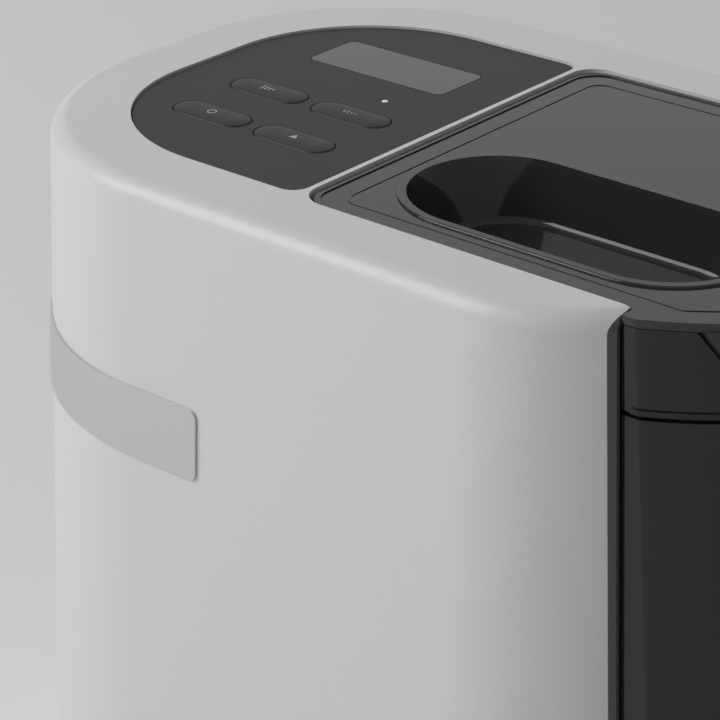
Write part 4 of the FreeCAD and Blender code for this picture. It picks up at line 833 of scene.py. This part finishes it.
@dataclass
class ControlPanel:
    """Dark panel in the top with its buttons, lamp and display."""

    casing: Casing
    gap: float = 0.3
    floor_z: float = 281.8
    top_z: float = 284.2
    edge_r: float = 0.4
    edge_steps: int = 3
    cap_length: float = 33.0
    cap_width: float = 13.0
    cap_steps: int = 12
    cap_top_z: float = 284.95
    cap_low_z: float = 279.4
    cap_gap: float = 0.15
    cap_edge_r: float = 0.9
    cap_edge_steps: int = 4
    dome: float = 0.5
    dome_ring: float = 1.2
    dome_shares: tuple[float, ...] = (0.4, 0.3, 0.2, 0.1)
    dome_smooth_deg: float = 50.0
    pane: Pad = field(default_factory=lambda: Pad(-79.0, 36.0, 62.0, 26.0, 6, 3.0))
    pane_thick: float = 1.2
    pane_gap: float = 0.1
    pane_ledge: float = 4.0
    pane_edge_r: float = 0.15
    lamp_x: float = -59.6
    lamp_y: float = 6.5
    lamp_r: float = 1.2
    lamp_bore: float = 5.0
    lamp_gap: float = 0.05
    lamp_sides: int = 32
    symbol_sink: float = 0.1
    symbol_proud: float = 0.12
    ring_r: float = 1.8
    ring_hole_r: float = 1.3
    ring_sides: int = 40
    triangle_r: float = 1.9
    stroke_count: int = 4
    stroke_width: float = 0.6
    stroke_pitch: float = 1.6
    stroke_start: float = 3.0
    bar_half: float = 1.8
    dash_half: float = 0.7
    stroke_fall: float = 0.2
    buttons: tuple[Button, ...] = (
        Button("tare_button", Symbol.RING, -98.0, -42.0),
        Button("start_button", Symbol.TRIANGLE, -60.0, -42.0),
        Button("mode_button", Symbol.BARS, -98.0, -12.0),
        Button("pasta_button", Symbol.DASHES, -60.0, -12.0))

    def build(self) -> None:
        """Model and dress the panel and what sits in it."""
        low = self.floor_z - PAST_MM
        high = self.top_z + PAST_MM
        seat_z = self.top_z - self.pane_thick
        plate = self.casing.recess("panel_plate", self.gap, self.floor_z, self.top_z)
        for button in self.buttons:
            work(plate, self._cap_outline(button).block("opening", self.cap_gap, low, high))
        work(plate, self.pane.block("window", self.pane_gap, seat_z, high))
        work(plate, self.pane.block("window_through", -self.pane_ledge, low, self.top_z))
        work(plate, add_drum("lamp_hole", (self.lamp_x, self.lamp_y, low), self.lamp_bore,
                             self.lamp_r + self.lamp_gap, sides=self.lamp_sides))
        plate = soften(plate, self.edge_r, segments=self.edge_steps)
        hand_over(plate, PANEL_LACQUER, "housing", "dark_panel", "control_panel")
        for button in self.buttons:
            self._button(button)
        pane = soften(self.pane.block("display_pane", 0.0, seat_z, self.top_z), self.pane_edge_r)
        hand_over(pane, DISPLAY_GLASS, "housing", "display_glass", "display_window")

    def _cap_outline(self, button: Button) -> Pad:
        """Outline of a button's cap."""
        return Pad(button.x, button.y, self.cap_length, self.cap_width, self.cap_steps)

    def _button(self, button: Button) -> None:
        """Model a domed cap and its symbol.

        Args:
            button: The button.
        """
        top = self.cap_top_z - self.dome
        cap = self._cap_outline(button).block(button.name + "_cap", 0.0, self.cap_low_z, top)
        round_edges(cap, self.cap_edge_r, level(top), self.cap_edge_steps)
        with editing(cap, Kind.FACE) as mesh:
            choose(cap, mesh, Kind.FACE, lambda m, n: n.z > ALONG and abs(m.z - top) < NEAR_MM)
            for share in self.dome_shares:
                bpy.ops.mesh.inset(thickness=self.dome_ring * MM, depth=0.0)
                bpy.ops.transform.translate(value=(0, 0, self.dome * share * MM))
        body = button.name + "_body"
        hand_over(soften(cap, 0.0, self.dome_smooth_deg), BUTTON_CAP, body, "dark_panel", button.name)
        hand_over(soften(self._symbol(button), 0.0), SYMBOL_INK, body, "dark_panel")

    def _symbol(self, button: Button) -> Piece:
        """Model the thin printed symbol on a cap.

        Args:
            button: The button.

        Returns:
            The symbol.
        """
        low = self.cap_top_z - self.symbol_sink
        high = self.cap_top_z + self.symbol_proud
        name = button.name + "_symbol"
        x, y = button.x, button.y
        if button.symbol is Symbol.RING:
            ring = add_drum(name, (x, y, low), high - low, self.ring_r, sides=self.ring_sides)
            hole = add_drum("ring_hole", (x, y, low - PAST_MM), 3 * PAST_MM, self.ring_hole_r,
                            sides=self.ring_sides)
            return work(ring, hole)
        if button.symbol is Symbol.TRIANGLE:
            return add_drum(name, (x, y, low), high - low, self.triangle_r, sides=3)
        tall = self.bar_half if button.symbol is Symbol.BARS else self.dash_half
        start = x - self.stroke_start
        first = add_block(name, (start, y - tall, low), (start + self.stroke_width, y + tall, high))
        for i in range(1, self.stroke_count):
            left = start + self.stroke_pitch * i
            half = tall * (1 - self.stroke_fall * i)
            stroke = add_block("stroke", (left, y - half, low), (left + self.stroke_width, y + half, high))
            work(first, stroke, Cut.JOIN)
        return first


@dataclass
class Lid:
    """Smoked lid with its liquid well, thin ridges and front apron."""

    env: Envelope
    half_y: float = 81.0
    rear_x: float = -23.4
    front_x: float = 118.0
    corner_r: float = 11.0
    corner_least_r: float = 6.0
    corner_steps: int = 10
    top_z: float = 283.5
    bottom_z: float = 281.2
    nose_from_x: float = 105.5
    nose_lap: float = 2.0
    edge_r: float = 0.28
    contour_inset: float = 9.0
    contour_width: float = 0.9
    contour_rise: float = 0.25
    border_width: float = 1.7
    border_rise: float = 0.45
    ridge_foot: float = 0.6
    well: Pad = field(default_factory=lambda: Pad(54.0, -34.0, 126.0, 62.0, 28))
    well_depth: float = 21.0
    well_draft: float = 9.0
    side_draft: float = 0.35
    well_floor_r: float = 2.4
    well_floor_steps: int = 4
    well_wall: float = 2.0
    cup_sink: float = 0.5
    rim_rise: float = 0.8
    rim_round: float = 0.72
    rim_round_steps: int = 5
    rim_width: float = 3.0
    rim_inner_r: float = 0.7
    rim_inner_steps: int = 4
    apron_deg: float = 53.0
    apron_h: float = 9.0
    apron_lap: float = 0.5
    apron_thick: float = 2.4
    apron_slant: float = 0.8

    def build(self) -> None:
        """Model and dress the lid."""
        lid = self.outline("lid_smoked", 0.0, self.bottom_z, self.top_z)
        for inset, width, rise in ((self.contour_inset, self.contour_width, self.contour_rise),
                                   (0.0, self.border_width, self.border_rise)):
            ring = self.outline("ridge", inset, self.bottom_z + self.ridge_foot, self.top_z + rise)
            work(ring, self.outline("ridge_inside", inset + width, self.bottom_z, self.top_z + 2 * PAST_MM))
            work(lid, ring, Cut.JOIN)
        rim_top = self.top_z + self.rim_rise
        floor = self.top_z - self.well_depth
        rim = self.well.block("well_rim", self.rim_width, self.bottom_z, rim_top)
        work(lid, round_edges(rim, self.rim_round, level(rim_top), self.rim_round_steps), Cut.JOIN)
        cup = self._hollow("well_cup", self.well_wall, floor - self.well_wall, self.top_z - self.cup_sink)
        work(lid, cup, Cut.JOIN)
        work(lid, self._hollow("well", 0.0, floor, rim_top + PAST_MM))
        round_edges(lid, self.rim_inner_r, level(rim_top, 2 * NEAR_MM), self.rim_inner_steps)
        work(lid, self._apron(), Cut.JOIN)
        hand_over(soften(lid, self.edge_r), SMOKED_PC, "lid_body", "smoked_clear", "lid")

    def outline(self, name: str, inset: float, low: float, high: float) -> Piece:
        """Upright block with the lid's outline.

        Args:
            name: Name of the piece.
            inset: How far inside the outline it stays.
            low: Its bottom.
            high: Its top.

        Returns:
            The block.
        """
        env = self.env
        half = self.half_y - inset
        block = add_block(name, (self.rear_x + inset, -half, low), (self.front_x, half, high))
        corner_r = max(self.corner_r - inset / 2, self.corner_least_r)
        round_edges(block, corner_r, rear_upright, self.corner_steps)
        if not inset:
            nose = halve(env.nose("nose", 0.0, low, high), (self.nose_from_x, 0, 0), (-1, 0, 0))
            return work(block, nose, Cut.JOIN)
        nose = add_drum("nose", (env.nose_x, 0, low), high - low, env.nose_r - inset, sides=env.nose_sides)
        keep = add_block("nose_keep", (env.white_edge_x - PAST_MM, -half, low - PAST_MM),
                         (FAR_MM, half, high + PAST_MM))
        front = work(nose, keep, Cut.KEEP)
        halve(block, (env.white_edge_x + self.nose_lap, 0, 0), (1, 0, 0))
        return work(block, front, Cut.JOIN)

    def _hollow(self, name: str, grow: float, low: float, high: float) -> Piece:
        """Block of the well's outline that narrows towards its rounded bottom.

        Args:
            name: Name of the piece.
            grow: How far it is larger all round.
            low: Its bottom.
            high: Its top.

        Returns:
            The block.
        """
        well = self.well
        block = well.block(name, grow, low, high)
        across = 1 - self.well_draft * self.side_draft / (well.width / 2 + grow)
        with editing(block, Kind.VERT) as mesh:
            choose(block, mesh, Kind.VERT, level(low))
            bpy.ops.transform.resize(value=(1 - self.well_draft / (well.length / 2 + grow), across, 1),
                                     center_override=Vector((well.x, well.y, low)) * MM)
        return round_edges(block, self.well_floor_r, level(low), self.well_floor_steps)

    def _apron(self) -> Piece:
        """Curved front wall of the lid.

        Returns:
            The wall.
        """
        apron = self.env.nose_wall("apron", 0.0, self.apron_thick, self.bottom_z - self.apron_h,
                                   self.bottom_z + self.apron_lap)
        return self.trim_sides(apron, self.apron_deg)

    def trim_sides(self, piece: Piece, half_deg: float) -> Piece:
        """Cut a curved front wall off at both sides, slanting in towards its bottom.

        Args:
            piece: The wall.
            half_deg: Half of its angle at the lid's underside.

        Returns:
            The wall.
        """
        turn = math.radians(half_deg)
        reach = self.env.nose_r
        for side in (-1, 1):
            point = (self.env.nose_x + reach * math.cos(turn), side * reach * math.sin(turn), self.bottom_z)
            halve(piece, point, (-math.sin(turn), side * math.cos(turn), -self.apron_slant))
        return piece


@dataclass
class Bowl:
    """Smoked mixing bowl, whose top band shows in front."""

    env: Envelope
    lid: Lid
    axis_z: float = 160.0
    radius: float = 70.0
    trough_sides: int = 144
    wall: float = 3.0
    edge_r: float = 0.25
    rear_x: float = -20.0
    front_x: float = 122.0
    flange_top: float = 281.0
    flange_thick: float = 2.0
    band_bottom: float = 253.5
    lip_proud: float = 0.8
    lip_h: float = 1.8
    lip_from_x: float = 110.5
    notch_gap: float = 0.9
    notch_deg: float = 54.3
    notch_proud: float = 5.0
    backing_t: float = 2.0
    backing_deg: float = 57.3
    tip_low: Corner = (92.0, -200.0, 279.2)
    tip_high: Corner = (105.5, 200.0, 290.0)
    wall_hole: float = 12.0
    shaft_r: float = 14.0
    barrel_r: float = 24.0
    magnet: Corner = (-20.4, 73.5, 278.0)
    magnet_depth: float = 6.0
    magnet_r: float = 2.7
    magnet_sides: int = 32

    def build(self) -> None:
        """Model and dress the bowl."""
        env, lid = self.env, self.lid
        bowl = self._trough("bowl_smoked", self.wall, self.flange_top)
        under = self.flange_top - self.flange_thick
        work(bowl, lid.outline("flange", 0.0, under, self.flange_top), Cut.JOIN)
        skin = env.nose("skin", 0.0, self.band_bottom, self.flange_top)
        work(skin, env.nose("skin_inside", self.wall, self.band_bottom - PAST_MM, under))
        work(bowl, skin, Cut.JOIN)
        lip = env.nose_wall("lip", -self.lip_proud, self.wall / 2, self.band_bottom,
                            self.band_bottom + self.lip_h)
        work(bowl, halve(lip, (self.lip_from_x, 0, 0), (-1, 0, 0)), Cut.JOIN)
        notch_low = lid.bottom_z - lid.apron_h - self.notch_gap
        depth = lid.apron_thick + self.notch_gap
        notch = env.nose_wall("notch", -self.notch_proud, depth, notch_low, lid.bottom_z + PAST_MM)
        work(bowl, lid.trim_sides(notch, self.notch_deg))
        work(bowl, self._trough("bowl_inside", 0.0, FAR_MM))
        backing = env.nose_wall("backing", depth, depth + self.backing_t, notch_low - self.backing_t,
                                self.flange_top)
        work(bowl, lid.trim_sides(backing, self.backing_deg), Cut.JOIN)
        work(bowl, self._tips())
        work(bowl, add_drum("magnet_seat", self.magnet, self.magnet_depth, self.magnet_r,
                            sides=self.magnet_sides))
        for name, x, radius in (("shaft_hole", self.rear_x - CLEAR_MM, self.shaft_r),
                                ("barrel_hole", self.front_x - PAST_MM, self.barrel_r)):
            work(bowl, add_drum(name, (x, 0, self.axis_z), self.wall_hole, radius, lying=True))
        hand_over(soften(bowl, self.edge_r), SMOKED_WALL, "housing", "smoked_clear", "bowl")

    def _tips(self) -> Piece:
        """Blocks over the ends of the band that stand out past the lid's sides.

        Returns:
            The two blocks, as one object.
        """
        half = self.lid.half_y
        tips = add_block("tips", self.tip_low, self.tip_high)
        return work(tips, add_block("tips_keep", (0, -half, SIDE_MM), (FAR_MM, half, FAR_MM)))

    def _trough(self, name: str, grow: float, high: float) -> Piece:
        """Round-bottomed block.

        Args:
            name: Name of the piece.
            grow: How far it is larger than the bowl's inside.
            high: Its top.

        Returns:
            The block.
        """
        x0 = self.rear_x - grow
        length = self.front_x - self.rear_x + 2 * grow
        radius = self.radius + grow
        round_part = add_drum(name, (x0, 0, self.axis_z), length, radius, lying=True, sides=self.trough_sides)
        top = add_block("trough_top", (x0, -radius, self.axis_z), (x0 + length, radius, high))
        return work(round_part, top, Cut.JOIN)


@dataclass
class FrontCover:
    """Smoked cover over the extrusion end."""

    env: Envelope
    top_z: float = 251.8
    bottom_z: float = 10.0
    wall: float = 3.0
    edge_r: float = 0.4
    hole_r: float = 37.0
    axis_z: float = 160.0
    scoop_depth: float = 8.0
    scoop_half_y: float = 66.0
    scoop_r: float = 9.0
    scoop_steps: int = 8

    def build(self) -> None:
        """Model and dress the cover."""
        env = self.env
        cover = env.nose_wall("front_cover_smoked", 0.0, self.wall, self.bottom_z, self.top_z)
        work(cover, add_drum("nozzle_hole", (env.nose_x, 0, self.axis_z), SIDE_MM, self.hole_r, lying=True))
        work(cover, self._scoop())
        hand_over(soften(cover, self.edge_r), SMOKED_WALL, "cover_body", "smoked_clear", "front_cover")

    def _scoop(self) -> Piece:
        """Block that dips the cover's top edge, with sides that slant outwards.

        Returns:
            The block.
        """
        low = self.top_z - self.scoop_depth
        narrow = self.scoop_half_y - self.scoop_depth
        wide = self.scoop_half_y + self.scoop_depth
        scoop = add_block("scoop", (self.env.nose_x, -narrow, low), (FAR_MM, narrow, self.top_z + PAST_MM))
        with editing(scoop, Kind.VERT) as mesh:
            choose(scoop, mesh, Kind.VERT, lambda m, n: m.z > self.top_z)
            bpy.ops.transform.resize(value=(1, wide / narrow, 1), center_override=(0, 0, 0))
        return round_edges(scoop, self.scoop_r, lambda m, w: abs(w.x) > ALONG and abs(m.z - low) < NEAR_MM,
                           self.scoop_steps)


@dataclass
class Works:
    """CAD nodes that keep their shape and get a real surface."""

    nodes_by_finish: dict[Finish, tuple[str, ...]] = field(default_factory=lambda: {
        BLACK_ABS: ("base_plate", "display_module", "lid_switch", "ring_nut", "front_frame", "cooling_fan",
                    "power_inlet"),
        FOOT_RUBBER: ("foot_pads",),
        LAMP_LENS: ("status_led",),
        BOARD_GREEN: ("control_board", "power_board"),
        SMOKED_WALL: ("barrel",),
        SEAL_SILICONE: ("lid_seal", "bowl_seal"),
        MAGNET_NICKEL: ("lid_magnet",),
        FOOD_ACETAL: ("shaping_disc", "extrusion_screw", "mixing_paddle"),
        TURNED_STEEL: ("base_screws", "output_gear", "pinion", "idler_pin", "output_shaft", "front_bearing",
                       "rear_bearing", "gearbox_screws", "motor_shaft"),
        GEAR_NYLON: ("idler_gear",),
        CAST_ALUMINIUM: ("load_cells", "gearbox_housing"),
        PLATED_STEEL: ("motor_bracket", "motor_can")})

    def dress(self, nodes: dict) -> None:
        """Give each node its finish.

        Args:
            nodes: The frame's nodes by name.
        """
        for finish, names in self.nodes_by_finish.items():
            for name in names:
                piece = nodes[name]
                if not piece.material_slots:
                    piece.data.materials.append(finish.make())
                for slot in piece.material_slots:
                    slot.material = finish.make()
                LOG.info("%s: %s", name, finish.name)


@dataclass
class Lamp:
    """One soft light."""

    name: str
    place: Corner
    size: float
    power: float


@dataclass
class Studio:
    """Camera, floor and soft lights."""

    camera_place: Corner = (470.0, -643.0, 596.0)
    azimuth_deg: float = 39.8
    elevation_deg: float = 26.3
    lens_mm: float = 125.55
    sensor_mm: float = 36.0
    nearest_mm: float = 10.0
    floor_half: float = 6000.0
    floor_colour: str = "#F1F0F0"
    floor_roughness: float = 0.85
    world_colour: str = "#F2F3F6"
    world_strength: float = 0.29
    aim: Corner = (0.0, 0.0, 150.0)
    lamps: tuple[Lamp, ...] = (
        Lamp("key_left", (-1450.0, -1560.0, 1650.0), 1800.0, 37.0),
        Lamp("rear_card", (-1660.0, 2000.0, 1430.0), 3200.0, 14.0))

    def build(self) -> None:
        """Set the camera, the floor, the lights and the world."""
        self._camera()
        clear_selection()
        bpy.ops.mesh.primitive_plane_add(size=2 * self.floor_half * MM, location=(0, 0, 0))
        floor = bpy.context.object
        floor.name = "studio_floor"
        paper = Finish("studio_floor_paper", self.floor_colour, self.floor_roughness)
        floor.data.materials.append(paper.make())
        for lamp in self.lamps:
            self._lamp(lamp)
        world = bpy.data.worlds.new("studio_room")
        bpy.context.scene.world = world
        world.use_nodes = True
        ground = world.node_tree.nodes["Background"]
        ground.inputs["Color"].default_value = linear(self.world_colour)
        ground.inputs["Strength"].default_value = self.world_strength
        bpy.context.scene.view_settings.view_transform = "Standard"

    def _camera(self) -> None:
        """Add the camera at the photograph's angle."""
        turn = math.radians(self.azimuth_deg)
        rise = math.radians(self.elevation_deg)
        bpy.ops.object.camera_add(location=Vector(self.camera_place) * MM,
                                  rotation=(math.pi / 2 - rise, 0.0, turn))
        camera = bpy.context.object
        camera.name = "photo_camera"
        camera.data.lens = self.lens_mm
        camera.data.sensor_width = self.sensor_mm
        camera.data.clip_start = self.nearest_mm * MM
        bpy.context.scene.camera = camera

    def _lamp(self, lamp: Lamp) -> None:
        """Add one square soft light that faces the machine.

        Args:
            lamp: The light.
        """
        aim = (Vector(self.aim) - Vector(lamp.place)).to_track_quat("-Z", "Y").to_euler()
        bpy.ops.object.light_add(type="AREA", location=Vector(lamp.place) * MM, rotation=aim)
        light = bpy.context.object
        light.name = lamp.name
        light.data.size = lamp.size * MM
        light.data.energy = lamp.power


def main() -> None:
    """Build the machine and its studio."""
    logging.basicConfig(level=logging.INFO, format="%(message)s")
    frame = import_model()
    clear_selection()
    env = Envelope()
    casing = Casing(env)
    lid = Lid(env)
    Studio().build()
    casing.build()
    ControlPanel(casing).build()
    lid.build()
    Bowl(env, lid).build()
    FrontCover(env).build()
    Works().dress(frame["nodes"])


if __name__ == "__main__":
    main()
